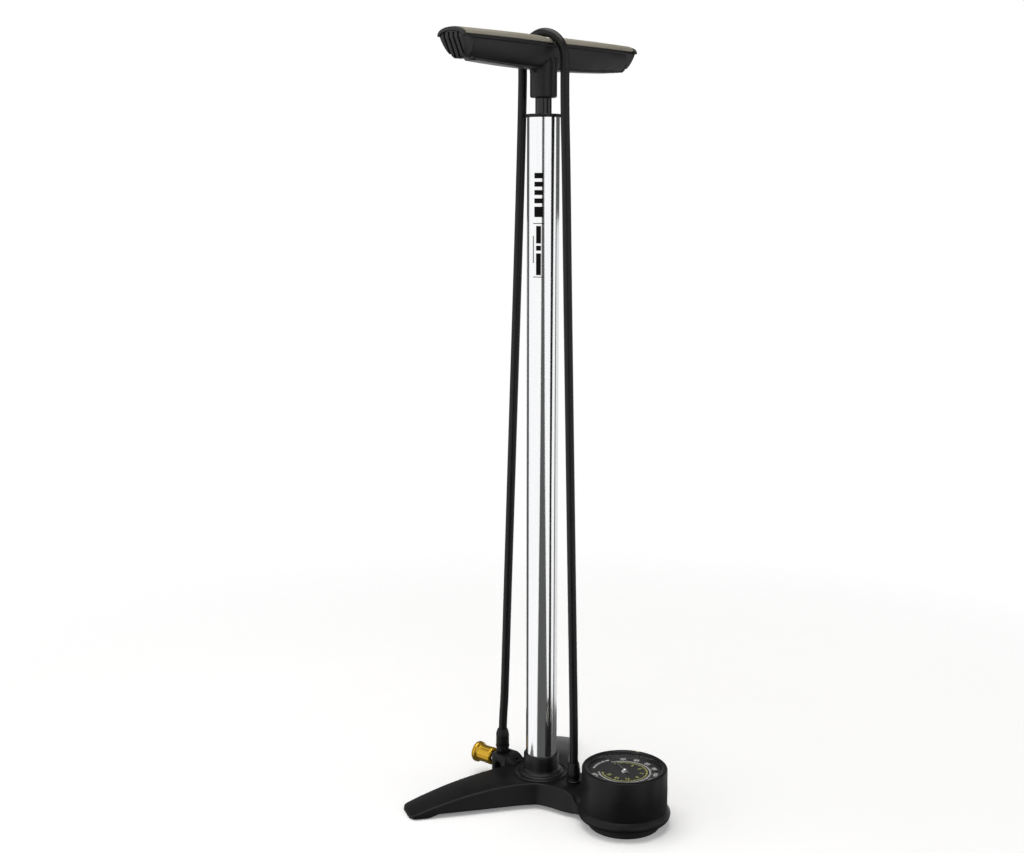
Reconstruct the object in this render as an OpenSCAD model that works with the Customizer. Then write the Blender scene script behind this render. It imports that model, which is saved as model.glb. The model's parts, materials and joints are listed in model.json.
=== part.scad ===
// Floor pump for bicycle tyres: tripod base, gauge in the front foot, tall barrel, cross handle,
// and a hose that runs from the base over the handle and down to a chuck parked behind the barrel.
// Parts are drawn about the barrel's axis, with +X along the handle and -Y towards the gauge,
// and place() carries them to the frame, whose origin is the middle of the footprint on the floor.

/* [Barrel] */
// Outside diameter of the barrel
barrel_d = 30; // [29:0.5:31]
// Wall thickness of the barrel
barrel_wall = 1.5; // [1.2:0.1:1.8]
// Height of the barrel's top edge
barrel_top = 655; // [640:5:670]
// Outside diameter of the piston rod
rod_d = 15; // [14.5:0.1:15.5]

/* [Base] */
// Height of the deck round the barrel
deck_z = 24.2; // [24:0.1:25]
// Reach of the two side legs from the barrel's axis
leg_reach = 137; // [130:1:145]
// Height of the deck's rounded top over its edges
leg_crown = 1; // [0.5:0.1:1.5]
// Wall thickness of the casting
cast_wall = 3.5; // [3:0.1:4]

/* [Gauge] */
// Distance from the barrel's axis to the gauge's axis
gauge_reach = 100.5; // [100:0.5:104]
// Radius of the gauge housing
gauge_r = 39.9; // [39.5:0.1:40.2]
// Height of the gauge housing's rim
gauge_top = 56.2; // [56:0.1:57]
// Angle of the needle at rest, anticlockwise from +X
needle_angle = 62; // [0:1:359]
// Angle of the marker on the bezel, anticlockwise from +X
marker_angle = 15; // [0:1:359]

/* [Handle] */
// Half the length of the handle
handle_half = 125; // [120:1:130]
// Height of the line where the top cover meets the body
part_z = 719.6; // [719:0.1:720]
// Height of the top cover's crown
crown_z = 727.3; // [726.5:0.1:727.5]
// Height of the keel under the handle, at the middle
keel_z = 697; // [696.5:0.1:698]
// Radius of the hub that takes the rod
hub_r = 12.4; // [12:0.1:12.6]

/* [Hose and chuck] */
// Outside diameter of the hose
hose_d = 8.2; // [8:0.1:8.3]
// Radius of the chuck's bore, for a valve stem
valve_r = 3.9; // [3.9:0.05:4.2]
// Height of the parked chuck's axis
chuck_z = 22; // [21.5:0.1:22.5]

/* [Hidden] */
// Barrel's axis in the frame, so that the origin is the middle of the footprint
axis_y = 30;
barrel_r = barrel_d / 2;
bore_r = barrel_r - barrel_wall;
rod_r = rod_d / 2;
hose_r = hose_d / 2;
run_gap = 0.05;
fit_gap = 0.02;

// Base
leg_angles = [30, 150];
hub_disc_r = 30;
socket_r = 20;
socket_floor = 14;
socket_base = 8.5;
socket_screw_r = 23.3;
pipe_z = 11;
pipe_r = 2.5;
leg_under = 4;
foot_from = 121.5;
foot_size = [12, 22, 2];
hollow_end = 110;
tip_ramp_from = 112;
tip_ramp = 9;
tip_floor = 0.8;
ramp_from = 20;
ramp_drop = 20.5;
web_flare = 0.2;
tip_corner = 4.5;
edge_r = 1.4;
flange_low = 8;
seat_z = 15;
flange_r = 43.5;
// Directions off a leg's middle, closer together where the tip's corners are
leg_fan = [
    -59.9, -48, -37, -28, -21, -16, -12.5, -10, -9.2, -8.4, -7.6, -6.8, -6.2, -5.5, -4, -2, 0,
    2, 4, 5.5, 6.2, 6.8, 7.6, 8.4, 9.2, 10, 12.5, 16, 21, 28, 37, 48
];
deck_steps = [0, 0.1, 0.2, 0.32, 0.44, 0.56, 0.68, 0.8, 0.9, 1];

// Gauge
cup_wall = 2.6;
cup_inner = gauge_r - cup_wall;
dial_z = 51.2;
dial_t = 0.8;
dial_r = 34.6;
needle_z = 52.6;
lens_z = 54.9;
bezel_top = 56.8;
bezel_floor = 52.2;
bezel_r = cup_inner - 0.3;

// Piston and valve
nut_z = 16.5;
cup_z = 20;
piston_z = 25;
rod_foot = 36;
bumper_h = 8;
plug_foot = 636;
cap_h = 3;
rod_top = 700;
bolt_web_z = 704;
valve_seat = 13;
valve_floor = 7;

// Hose fittings
inlet_y = -40.4;
chuck_y = 50;
head_top = 30.5;
dock_screw_y = 29.8;
dock_seat = deck_z + 1;

// Hose: the points down its middle, from the base fitting over the handle to the chuck
hose_route = [
    [0, -40.4, 41], [0, -40.3, 60], [0, -39.6, 100], [0, -37, 200], [0, -34.4, 300],
    [0, -31.8, 400], [0, -29.3, 500], [0, -26.9, 600], [0, -25.2, 655], [0, -24.7, 685],
    [0, -24.6, 706], [0, -22.7, 715.4], [0, -17.4, 723.4], [0, -9.4, 728.7], [0, 0, 730.6],
    [0, 9.4, 728.7], [0, 17.4, 723.4], [0, 22.7, 715.4], [0, 24.6, 706], [0, 24.9, 685],
    [0, 25.6, 655], [0, 27.4, 600], [0, 31.2, 500], [0, 35.2, 400], [0, 39.2, 300],
    [0, 43.2, 200], [0, 47, 100], [0, 49, 70], [0, 49.8, 53]
];
hose_steps = 2;
hose_sides = 10;

$fn = 96;

// ---- Shared functions ----

// Height of a side leg's top edge at distance s from the barrel's axis
function leg_top(s) =
    s < ramp_from ? deck_z
    : deck_z - ramp_drop * pow((s - ramp_from) / (leg_reach - ramp_from), 1.9);

// How far the rounded tip draws in at distance s
function tip_draw(s) =
    let (past = s - (leg_reach - tip_corner))
    past <= 0 ? 0 : tip_corner - sqrt(max(0, tip_corner * tip_corner - past * past));

// Half the width of a side leg's top at distance s
function leg_half(s) = 25 - 0.068 * s + 4.5 * exp(-(s - 14) / 9) - tip_draw(s);

// The front leg widens into the gauge's flange, and its deck steps down to it
function front_half(s) = 21.5 + 6 * exp(-(s - 16) / 8) + 0.011 * pow(max(0, s - 40), 2);

function ease(t) = t <= 0 ? 0 : t >= 1 ? 1 : t * t * (3 - 2 * t);

// The legs stand on their tips, and their undersides rise behind them
function leg_floor(s) = leg_under - (leg_under - tip_floor) * ease((s - tip_ramp_from) / tip_ramp);

function front_top(s) = deck_z - 10.5 * ease((s - 40) / 36);

function front_floor(s) = leg_under + (flange_low + 0.4 - leg_under) * ease((s - 48) / 8);

// Each leg is described by its distance along, s, and a flag for the front leg
function top_at(s, front) = front ? front_top(s) : leg_top(s);
function half_at(s, front) = front ? front_half(s) : leg_half(s);
function floor_at(s, front) = front ? front_floor(s) : leg_floor(s);

// Greatest radius inside the leg's outline in the direction phi off its middle, by halving
function reach(phi, front, widen, flare, far, low = 20, high = 160, left = 16) =
    left == 0 ? low
    : let (
        r = (low + high) / 2,
        s = r * cos(phi),
        edge = half_at(s, front) + widen + flare * (top_at(s, front) - leg_under),
        holds = s < far && r * abs(sin(phi)) < edge
    )
    holds ? reach(phi, front, widen, flare, far, r, high, left - 1)
    : reach(phi, front, widen, flare, far, low, r, left - 1);

// Height of the deck at radius r in the direction phi off a leg's middle
function deck_at(r, phi, front) =
    let (s = r * cos(phi), share = min(1, r * abs(sin(phi)) / half_at(s, front)))
    top_at(s, front) + leg_crown * (1 - share * share) * ease((r - hub_disc_r) / 20);

// Solid between rings of points: each ring has the same number of points
function ring_faces(rings, sides) = [
    for (i = [0:rings - 2]) for (j = [0:sides - 1])
        [i * sides + j, (i + 1) * sides + j,
         (i + 1) * sides + (j + 1) % sides, i * sides + (j + 1) % sides]
];

module loft(sections) {
    rings = len(sections);
    sides = len(sections[0]);
    polyhedron(
        points = [for (ring = sections) each ring],
        faces = [
            [for (j = [0:sides - 1]) j],
            each ring_faces(rings, sides),
            [for (j = [sides - 1:-1:0]) (rings - 1) * sides + j]
        ],
        convexity = 6
    );
}

// Point at share t between b and c on the smooth curve through a, b, c, d
function between(a, b, c, d, t) =
    0.5 * (2 * b + (c - a) * t + (2 * a - 5 * b + 4 * c - d) * t * t
        + (3 * b - a - 3 * c + d) * t * t * t);

function smooth_route(points, steps) =
    let (last = len(points) - 1)
    [
        for (i = [0:last - 1]) for (k = [0:steps - 1])
            between(points[max(0, i - 1)], points[i], points[i + 1],
                points[min(last, i + 2)], k / steps),
        points[last]
    ];

// Ring of a tube that runs in the YZ plane
function tube_ring(at, heading, r, sides) =
    let (across = [0, heading[2], -heading[1]] / norm(heading))
    [for (j = [0:sides - 1])
        at + r * cos(360 * j / sides) * [1, 0, 0] + r * sin(360 * j / sides) * across];

function tube_rings(path, r, sides) =
    let (last = len(path) - 1)
    [for (i = [0:last])
        tube_ring(path[i], path[min(last, i + 1)] - path[max(0, i - 1)], r, sides)];

// ---- Shared modules ----

module place() { translate([0, axis_y, 0]) children(); }

module at_gauge() { translate([0, -gauge_reach, 0]) children(); }

module at_chuck() { translate([0, chuck_y, chuck_z]) rotate([-90, 0, 0]) children(); }

module ring(r_out, r_in, low, high) {
    translate([0, 0, low]) difference() {
        cylinder(r = r_out, h = high - low);
        translate([0, 0, -1]) cylinder(r = r_in, h = high - low + 2);
    }
}

module post(r, low, high) { translate([0, 0, low]) cylinder(r = r, h = high - low); }

module hex_bar(across_flats, low, high) {
    translate([0, 0, low]) cylinder(d = across_flats / cos(30), h = high - low, $fn = 6);
}

// Pan-head screw standing head down, with its head's face at z = 0
module screw(r, length, head_r, head_h) {
    cylinder(r = head_r, h = head_h);
    cylinder(r = r, h = length);
}

// ---- Base ----

// Section through the casting in one direction, from the bore out along the deck, down the web,
// and back under the hollow leg
function cast_section(phi, front) =
    let (
        far = front ? 75 : leg_reach,
        out = reach(phi, front, 0, 0, far),
        low = reach(phi, front, 0, web_flare, far + (front ? 0 : 1)),
        hollow = max(28.5, reach(phi, front, -cast_wall, 0, front ? 57 : hollow_end)),
        sole = min(low - 1.7, max(hollow + 1.4, foot_from / cos(phi))),
        s_low = low * cos(phi)
    )
    [
        [18, deck_z],
        for (f = deck_steps)
            let (r = 27.5 + f * (out - edge_r - 27.5))
            [r, deck_at(r, phi, front)],
        [out - 0.3 * edge_r, deck_at(out - edge_r, phi, front) - 0.3 * edge_r],
        [out, deck_at(out, phi, front) - edge_r],
        [low, floor_at(s_low, front)],
        [low - 1.6, floor_at(s_low, front)],
        [sole, floor_at(sole * cos(phi), front)],
        [hollow + 1, floor_at((hollow + 1) * cos(phi), front) + 0.4],
        [hollow, deck_at(hollow, phi, front) - cast_wall],
        [27 + 0.5 * (hollow - 27), deck_at(27 + 0.5 * (hollow - 27), phi, front) - cast_wall],
        [27, deck_z - cast_wall],
        [27, socket_base],
        [18, socket_base]
    ];

module cast_legs() {
    turns = [for (leg = [0:2]) for (phi = leg_fan) [leg, phi]];
    rings = [for (t = turns)
        let (around = -90 + 120 * t[0] + t[1])
        [for (p = cast_section(t[1], t[0] == 0)) [p[0] * cos(around), p[0] * sin(around), p[1]]]];
    count = len(rings);
    sides = len(rings[0]);
    polyhedron(
        points = [for (ring = rings) each ring],
        faces = [
            for (i = [0:count - 1]) for (j = [0:sides - 1])
                let (a = i * sides, b = ((i + 1) % count) * sides, k = (j + 1) % sides)
                [a + j, b + j, b + k, a + k]
        ],
        convexity = 8
    );
}

module gauge_flange() {
    at_gauge() rotate_extrude() polygon([
        [32, flange_low], [flange_r - 3, flange_low], [flange_r - 0.9, flange_low + 1],
        [flange_r, flange_low + 3.2], [flange_r, seat_z - 2.2], [flange_r - 0.9, seat_z],
        [flange_r - 2.6, seat_z + 1], [6.5, seat_z + 1], [6.5, seat_z - 3], [32, seat_z - 3]
    ]);
}

module base_casting() {
    color("#26272a") difference() {
        union() {
            cast_legs();
            gauge_flange();
        }
        post(socket_r + fit_gap, -1, deck_z + 3);
        at_gauge() post(gauge_r + run_gap, seat_z, seat_z + 20);
        at_gauge() for (a = [45:90:315]) rotate([0, 0, a]) translate([26, 0, 0]) post(2.1, 0, 20);
        translate([0, inlet_y, 0]) post(6.1, -1, deck_z + 3);
        translate([0, inlet_y, 0]) post(7.2, deck_z, deck_z + 3);
        translate([0, dock_screw_y, 0]) post(1.6, 15, deck_z + 3);
        for (a = [0:120:240]) rotate([0, 0, a]) translate([socket_screw_r, 0, 0]) post(1.6, 0, 17);
        translate([0, -15, pipe_z]) rotate([90, 0, 0]) cylinder(r = pipe_r + 0.7, h = gauge_reach - 15);
        for (a = leg_angles) rotate([0, 0, a]) leg_foot_block(-1);
    }
}

module base_socket() {
    color("#3a3b3e") difference() {
        union() {
            post(socket_r, leg_under + 1, deck_z);
            post(26, leg_under + 1, socket_base);
        }
        post(barrel_r + run_gap, socket_floor, deck_z + 1);
        post(2.5, valve_seat - 1, socket_floor + 1);
        post(6.5, leg_under, valve_seat);
        translate([0, 0, pipe_z]) rotate([90, 0, 0]) cylinder(r = pipe_r + run_gap, h = 40);
        for (a = [0:120:240]) rotate([0, 0, a]) translate([socket_screw_r, 0, 0]) post(1.6, 0, 10);
    }
}

module socket_screws() {
    color("silver") for (a = [0:120:240])
        rotate([0, 0, a]) translate([socket_screw_r, 0, 3]) screw(1.58, 13, 2.4, leg_under + 1 - 3);
}

// Pipe that carries air from the valve chamber to the hose inlet and the gauge
module air_pipe() {
    color("#b08d57") translate([0, 0, pipe_z]) rotate([90, 0, 0]) {
        ring(pipe_r, 1.5, 18, -inlet_y - 4);
        ring(pipe_r, 1.5, -inlet_y + 4, gauge_reach - 4);
    }
}

module leg_foot_block(low) {
    translate([foot_from, -foot_size[1] / 2, low]) cube([foot_size[0], foot_size[1], foot_size[2] - low]);
}

module leg_foot(a) {
    color("#1b1b1c") rotate([0, 0, a]) leg_foot_block(0);
}

module gauge_foot() {
    color("#1b1b1c") at_gauge() rotate_extrude() polygon([
        [30, 0], [33.4, 0], [34, 0.6], [34, flange_low - 1.5], [36, flange_low],
        [32, flange_low], [30, flange_low - 3]
    ]);
}

// ---- Foot valve ----

module valve_plug() {
    color("#8a8d91") difference() {
        union() {
            hex_bar(10, 2.5, leg_under + 1);
            post(6.45, leg_under + 1, valve_floor);
        }
        post(2, 1, 4);
    }
}

module valve_spring() {
    color("silver") ring(4, 3, valve_floor, valve_seat - 1.5);
}

module valve_disc() {
    color("#2e2e30") post(5, valve_seat - 1.5, valve_seat);
}

// ---- Barrel ----

module barrel_collar() {
    color("#26272a") rotate_extrude() polygon([
        [barrel_r + run_gap, deck_z], [27, deck_z], [27, deck_z + 0.8], [26, deck_z + 1],
        [21.4, deck_z + 0.5], [21.2, deck_z + 1.8], [20.4, deck_z + 2.8], [19, deck_z + 3.4],
        [18, deck_z + 4.2], [17.5, deck_z + 6], [17.1, 42.8], [16, 44], [barrel_r + run_gap, 44]
    ]);
}

module barrel_tube() {
    color("#d9dadc") ring(barrel_r, bore_r, socket_floor, barrel_top);
}

module barrel_cap() {
    color("#1e1f21") difference() {
        union() {
            post(16.2, barrel_top, barrel_top + cap_h - 0.8);
            translate([0, 0, barrel_top + cap_h - 0.8]) cylinder(r1 = 16.2, r2 = 15.4, h = 0.8);
            post(bore_r - fit_gap, plug_foot, barrel_top);
        }
        post(9, plug_foot + 3, barrel_top + cap_h + 1);
        post(rod_r + 0.6, plug_foot - 1, plug_foot + 4);
    }
}

module rod_bush() {
    color("#c9b27c") ring(9 - fit_gap, rod_r + run_gap, plug_foot + 3, barrel_top + cap_h - 0.5);
}

module piston_rod() {
    color("#17181a") ring(rod_r, rod_r - 1.5, rod_foot, rod_top);
}

module piston_head() {
    color("#3a3b3e") difference() {
        union() {
            post(bore_r - 0.25, piston_z, rod_foot);
            post(rod_r - 1.5 - fit_gap, rod_foot, rod_foot + 14);
        }
        ring(bore_r + 1, 11.4, 28.5, 31.5);
        post(3, piston_z - 1, rod_foot + 15);
    }
}

module piston_seal() {
    color("#1b1b1c") ring(bore_r - run_gap, 11.4 + fit_gap, 28.5, 31.5);
}

module piston_cup() {
    color("#2a2a2b") difference() {
        union() {
            post(9, cup_z, piston_z);
            ring(bore_r - run_gap, 9, cup_z + 3, piston_z);
            ring(bore_r - run_gap, 11.6, cup_z, cup_z + 3);
        }
        post(3, cup_z - 1, piston_z + 1);
    }
}

module piston_nut() {
    color("silver") {
        hex_bar(13, nut_z, cup_z);
        post(3 - fit_gap, nut_z - 0.5, rod_foot + 10);
    }
}

module rod_bumper() {
    color("#1b1b1c") ring(11, rod_r + fit_gap, rod_foot, rod_foot + bumper_h);
}

module rod_insert() {
    color("#8a8d91") ring(rod_r - 1.5 - fit_gap, 4 + fit_gap, 674, rod_top);
}

// ---- Handle ----

// Half the depth of the handle at distance x from its middle: a waist at the hub, full grips
function grip_half(x) = 12.6 + 2.6 * sin(180 * min(1, abs(x) / handle_half));

function keel_at(x) =
    let (far = abs(x))
    keel_z + 3.4 * pow(far / 110, 2) + 1.6 * max(0, far - 114);

// The crown dips in a shallow saddle where the hose lies
function crown_at(x) = crown_z - 0.7 * pow(x / handle_half, 2) - 2.1 * exp(-pow(x / 10, 2));

function body_section(x) =
    let (h = grip_half(x), k = keel_at(x), up = part_z - k)
    [
        [x, 6.6, k], [x, 7.6, k + 0.14 * up], [x, h * 0.78, k + 0.3 * up], [x, h * 0.93, k + 0.55 * up],
        [x, h, k + 0.82 * up], [x, h, part_z], [x, -h, part_z], [x, -h, k + 0.82 * up],
        [x, -h * 0.93, k + 0.55 * up], [x, -h * 0.78, k + 0.3 * up], [x, -7.6, k + 0.14 * up], [x, -6.6, k]
    ];

function cover_section(x) =
    let (h = grip_half(x) + 0.3, rise = crown_at(x) - part_z)
    [
        for (t = [0:8]) [x, h * cos(22.5 * t), part_z + rise * pow(sin(22.5 * t), 0.8)]
    ];

grip_stations = [
    -115, -108, -100, -85, -65, -45, -32, -24, -18, -12, -6, 0, 6, 12, 18, 24, 32, 45, 65, 85, 100, 108, 115
];

module handle_body() {
    color("#242527") difference() {
        union() {
            loft([for (x = grip_stations) body_section(x)]);
            post(hub_r, 673.3, 702);
            translate([0, 0, 672.5]) cylinder(r1 = hub_r - 0.8, r2 = hub_r, h = 0.8);
            for (side = [-1, 1]) translate([side * (hub_r - 1), 2, keel_z - 4]) rotate([90, 0, 0])
                linear_extrude(4) polygon([[0, 0], [side * 4, 4], [side * 4, 6], [0, 6]]);
        }
        post(rod_r + fit_gap, 671, rod_top);
        post(4.2, rod_top - 1, bolt_web_z + 1);
        post(8, bolt_web_z, part_z + 1);
    }
}

module handle_cover() {
    color("#96937f") loft([for (x = grip_stations) cover_section(x)]);
}

module handle_cap(side) {
    color("#2b2c2e") union() {
        loft([for (d = [0, 4, 8, 10])
            let (x = side * (115 + d), lean = side > 0 ? 1 : -1)
            [for (p = side > 0 ? body_section(x) : [for (q = body_section(x)) [q[0], -q[1], q[2]]])
                [p[0], p[1] * (1 - 0.004 * d), p[2]]]]);
        loft([for (d = [0, 4, 8, 10])
            let (x = side * (115 + d))
            [for (p = cover_section(x)) [p[0], side * p[1] * (1 - 0.004 * d), p[2]]]]);
    }
}

module handle_bolt() {
    color("silver") difference() {
        union() {
            post(4, 680, bolt_web_z + 1.5);
            post(6.5, bolt_web_z + 1.5, bolt_web_z + 9.5);
        }
        hex_bar(6, bolt_web_z + 5.5, bolt_web_z + 10);
    }
}

module bolt_washer() {
    color("silver") ring(7.5, 4.2, bolt_web_z, bolt_web_z + 1.5);
}

// ---- Gauge ----

module gauge_housing() {
    color("#242527") at_gauge() difference() {
        rotate_extrude() polygon([
            [0, seat_z], [gauge_r, seat_z], [gauge_r, seat_z + 4], [gauge_r + 0.4, seat_z + 6],
            [gauge_r + 0.3, seat_z + 20], [gauge_r, gauge_top - 0.8], [gauge_r - 0.8, gauge_top],
            [cup_inner, gauge_top], [cup_inner, seat_z + 3], [0, seat_z + 3]
        ]);
        post(6.2, seat_z - 1, seat_z + 4);
        for (a = [45:90:315]) rotate([0, 0, a]) translate([26, 0, 0]) post(1.6, seat_z - 1, seat_z + 4);
    }
}

module gauge_screws() {
    color("silver") at_gauge() for (a = [45:90:315])
        rotate([0, 0, a]) translate([26, 0, seat_z - 5.5]) screw(1.5, 12, 3.2, 2.5);
}

// Plate that carries the movement and closes the housing under the dial
module gauge_plate() {
    color("#b8babd") at_gauge() difference() {
        union() {
            ring(cup_inner - 0.1, 33, seat_z + 3, dial_z - dial_t);
            post(34, seat_z + 3, seat_z + 5);
        }
        post(6.2, seat_z, seat_z + 8);
        for (a = [45:90:315]) rotate([0, 0, a]) translate([26, 0, 0]) post(1.6, seat_z, seat_z + 8);
    }
}

module gauge_socket() {
    color("#b08d57") at_gauge() difference() {
        union() {
            post(6, 4.5, 22);
            translate([-7, -7, 22]) cube([14, 14, 12]);
        }
        translate([0, 0, pipe_z]) rotate([-90, 0, 0]) cylinder(r = pipe_r + run_gap, h = 10);
        post(1.5, pipe_z, 30);
    }
}

// Curved tube that straightens a little under pressure
module bourdon_tube() {
    color("#c8a165") at_gauge() translate([0, 0, 28]) {
        rotate([0, 0, -60]) rotate_extrude(angle = 250)
            translate([22, 0]) scale([0.4, 1]) circle(r = 4, $fn = 24);
        rotate([0, 0, -60]) translate([9.9, 0, -2]) cube([12, 3, 4]);
    }
}

module sector_gear() {
    color("#c8a165") at_gauge() translate([0, 16, 38]) rotate([0, 0, -20.8]) {
        cylinder(r = 3, h = 1.5);
        linear_extrude(1.5) polygon([
            [-1.5, 0], [-5, -12.2], [-3.5, -13.2], [0, -13.7], [3.5, -13.2], [5, -12.2], [1.5, 0]
        ]);
        translate([0, 0, -3]) cylinder(r = 1, h = 6);
    }
}

module needle_spindle() {
    color("silver") at_gauge() {
        post(0.9, 36, dial_z + 0.4);
        post(2, 37.8, 39.8);
    }
}

module gauge_dial() {
    color("#333437") at_gauge() ring(dial_r, 1.2, dial_z - dial_t, dial_z);
}

module gauge_needle() {
    color("#d5d6d8") at_gauge() rotate([0, 0, needle_angle]) {
        translate([0, 0, dial_z + 0.4]) cylinder(r1 = 3.6, r2 = 1.9, h = 3);
        translate([0, 0, needle_z]) linear_extrude(0.5)
            polygon([[-8, -1.2], [0, -1.4], [20, -0.35], [20, 0.35], [0, 1.4], [-8, 1.2]]);
    }
}

module gauge_lens() {
    color([0.9, 0.95, 1, 0.35]) at_gauge() post(dial_r - 0.4 - fit_gap, lens_z, lens_z + 1.2);
}

module gauge_bezel() {
    color("#232426") at_gauge() rotate_extrude() polygon([
        [dial_r - 0.4, bezel_floor], [bezel_r, bezel_floor], [bezel_r, bezel_top - 0.5],
        [bezel_r - 0.5, bezel_top], [dial_r + 1.2, bezel_top], [dial_r - 0.4, bezel_top - 1.6]
    ]);
}

module bezel_marker() {
    color("#d8d24a") at_gauge() rotate([0, 0, marker_angle]) translate([0, 0, bezel_top])
        linear_extrude(0.4) polygon([[dial_r + 1.2, 0], [bezel_r - 0.4, -1.8], [bezel_r - 0.4, 1.8]]);
}

// ---- Hose, chuck and dock ----

module hose_inlet() {
    color("#1e1f21") translate([0, inlet_y, 0]) difference() {
        union() {
            post(6, 5, deck_z + 1);
            post(7, deck_z, deck_z + 2.2);
            post(6.2, deck_z + 2, 29.5);
        }
        translate([0, 0, pipe_z]) rotate([90, 0, 0]) cylinder(r = pipe_r + run_gap, h = 20, center = true);
        post(1.5, pipe_z, 31);
    }
}

module hose_nut_base() {
    color("#1b1c1e") translate([0, inlet_y, 0]) difference() {
        union() {
            post(6.7, 29.5, 36);
            translate([0, 0, 36]) cylinder(r1 = 6.6, r2 = 5.4, h = 8, $fn = 96);
        }
        post(hose_r, 41, 45);
        post(1.5, 29, 42);
    }
}

module hose_tube() {
    color("#121213") loft(tube_rings(smooth_route(hose_route, hose_steps), hose_r, hose_sides));
}

module hose_nut_chuck() {
    color("#1b1c1e") translate([0, chuck_y, 0]) difference() {
        union() {
            post(6.4, head_top, 36.5);
            post(6.9, 36.5, 38);
            post(6.6, 38, 46);
            translate([0, 0, 46]) cylinder(r1 = 6.4, r2 = 4.9, h = 9, $fn = 96);
        }
        post(hose_r + 0.05, 51, 56);
        post(1.5, 30, 52);
    }
}

module chuck_body() {
    color("#1b1c1e") difference() {
        union() {
            translate([0, chuck_y, 0]) post(6.4, chuck_z, head_top);
            at_chuck() translate([0, 0, -9]) cylinder(r = 6.6, h = 16);
            at_chuck() translate([0, 0, 7]) cylinder(r = 5, h = 2);
        }
        translate([0, chuck_y, 0]) post(1.5, chuck_z, head_top + 1);
        at_chuck() cylinder(r = 1.5, h = 10);
    }
}

module chuck_stem() {
    color("silver") at_chuck() difference() {
        union() {
            translate([0, 0, 9]) cylinder(r = 6, h = 1.5);
            translate([0, 0, 9]) cylinder(r = 4.5, h = 16);
        }
        translate([0, 0, 8]) cylinder(r = 1.5, h = 20);
    }
}

module chuck_sleeve() {
    color("#d9a321") at_chuck() difference() {
        rotate_extrude() polygon([
            [4.5 + run_gap, 11], [7.8, 11], [8.5, 11.7], [8.7, 16], [8.2, 27.5], [9.4, 29],
            [10.3, 30], [10.3, 32.6], [9.6, 33.4], [7, 33.4], [7, 25.5], [4.5 + run_gap, 25.5]
        ]);
        for (a = [0:60:300]) rotate([0, 0, a]) translate([8.9, 0, 13]) cylinder(r = 0.8, h = 14, $fn = 24);
    }
}

module chuck_seal() {
    color("#1b1b1c") at_chuck() ring(7 - fit_gap, valve_r, 25.6, 32);
}

// Clip that holds the chuck behind the barrel: a channel open to the rear, on a sloping arm
module chuck_dock() {
    color("#26272a") difference() {
        union() {
            translate([-9.5, 38, 13]) cube([19, 18, 17.8]);
            translate([-8.8, 0, 0]) rotate([90, 0, 90]) linear_extrude(17.6) polygon([
                [27, deck_z], [34.4, deck_z], [35.8, 20], [38.5, 18], [38.5, 30.8], [37.6, 30.8],
                [34.5, 29.8], [30.2, deck_z + 2.2], [27, deck_z + 1]
            ]);
        }
        at_chuck() translate([0, 0, -9.3]) cylinder(r = 6.8, h = 30);
        translate([-6.6, chuck_y - 6.6, chuck_z]) cube([13.2, 20, 20]);
        translate([-12, 43, 12]) cube([24, 9, 7]);
        translate([-12, 47.5, 19]) rotate([0, 90, 0]) cylinder(r = 4.5, h = 24);
        post(27.4, 12, 32);
        translate([0, dock_screw_y, 20]) post(1.6, 0, 12);
        translate([0, dock_screw_y, 0]) post(3.1, dock_seat, 32);
    }
}

module dock_screw() {
    color("silver") translate([0, dock_screw_y, 0]) {
        post(1.58, deck_z - 3, dock_seat);
        post(2.8, dock_seat, dock_seat + 1.6);
    }
}

place() base_casting();
place() base_socket();
place() socket_screws();
place() air_pipe();
place() leg_foot(leg_angles[1]);  // leg_foot_left
place() leg_foot(leg_angles[0]);  // leg_foot_right
place() gauge_foot();
place() valve_plug();
place() valve_spring();
place() valve_disc();
place() barrel_collar();
place() barrel_tube();
place() barrel_cap();
place() rod_bush();
place() piston_rod();
place() piston_head();
place() piston_seal();
place() piston_cup();
place() piston_nut();
place() rod_bumper();
place() rod_insert();
place() handle_body();
place() handle_cover();
place() handle_cap(-1);  // handle_cap_left
place() handle_cap(1);  // handle_cap_right
place() handle_bolt();
place() bolt_washer();
place() gauge_housing();
place() gauge_screws();
place() gauge_plate();
place() gauge_socket();
place() bourdon_tube();
place() sector_gear();
place() needle_spindle();
place() gauge_dial();
place() gauge_needle();
place() gauge_lens();
place() gauge_bezel();
place() bezel_marker();
place() hose_inlet();
place() hose_nut_base();
place() hose_tube();
place() hose_nut_chuck();
place() chuck_body();
place() chuck_stem();
place() chuck_sleeve();
place() chuck_seal();
place() chuck_dock();
place() dock_screw();
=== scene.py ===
"""Looks of the floor pump: camera, hose, materials, detailed pieces round the CAD frame, studio."""

import json
import math

import bmesh  # noqa: E402
import bpy  # noqa: E402
from mathutils import Matrix, Vector  # noqa: E402

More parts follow.
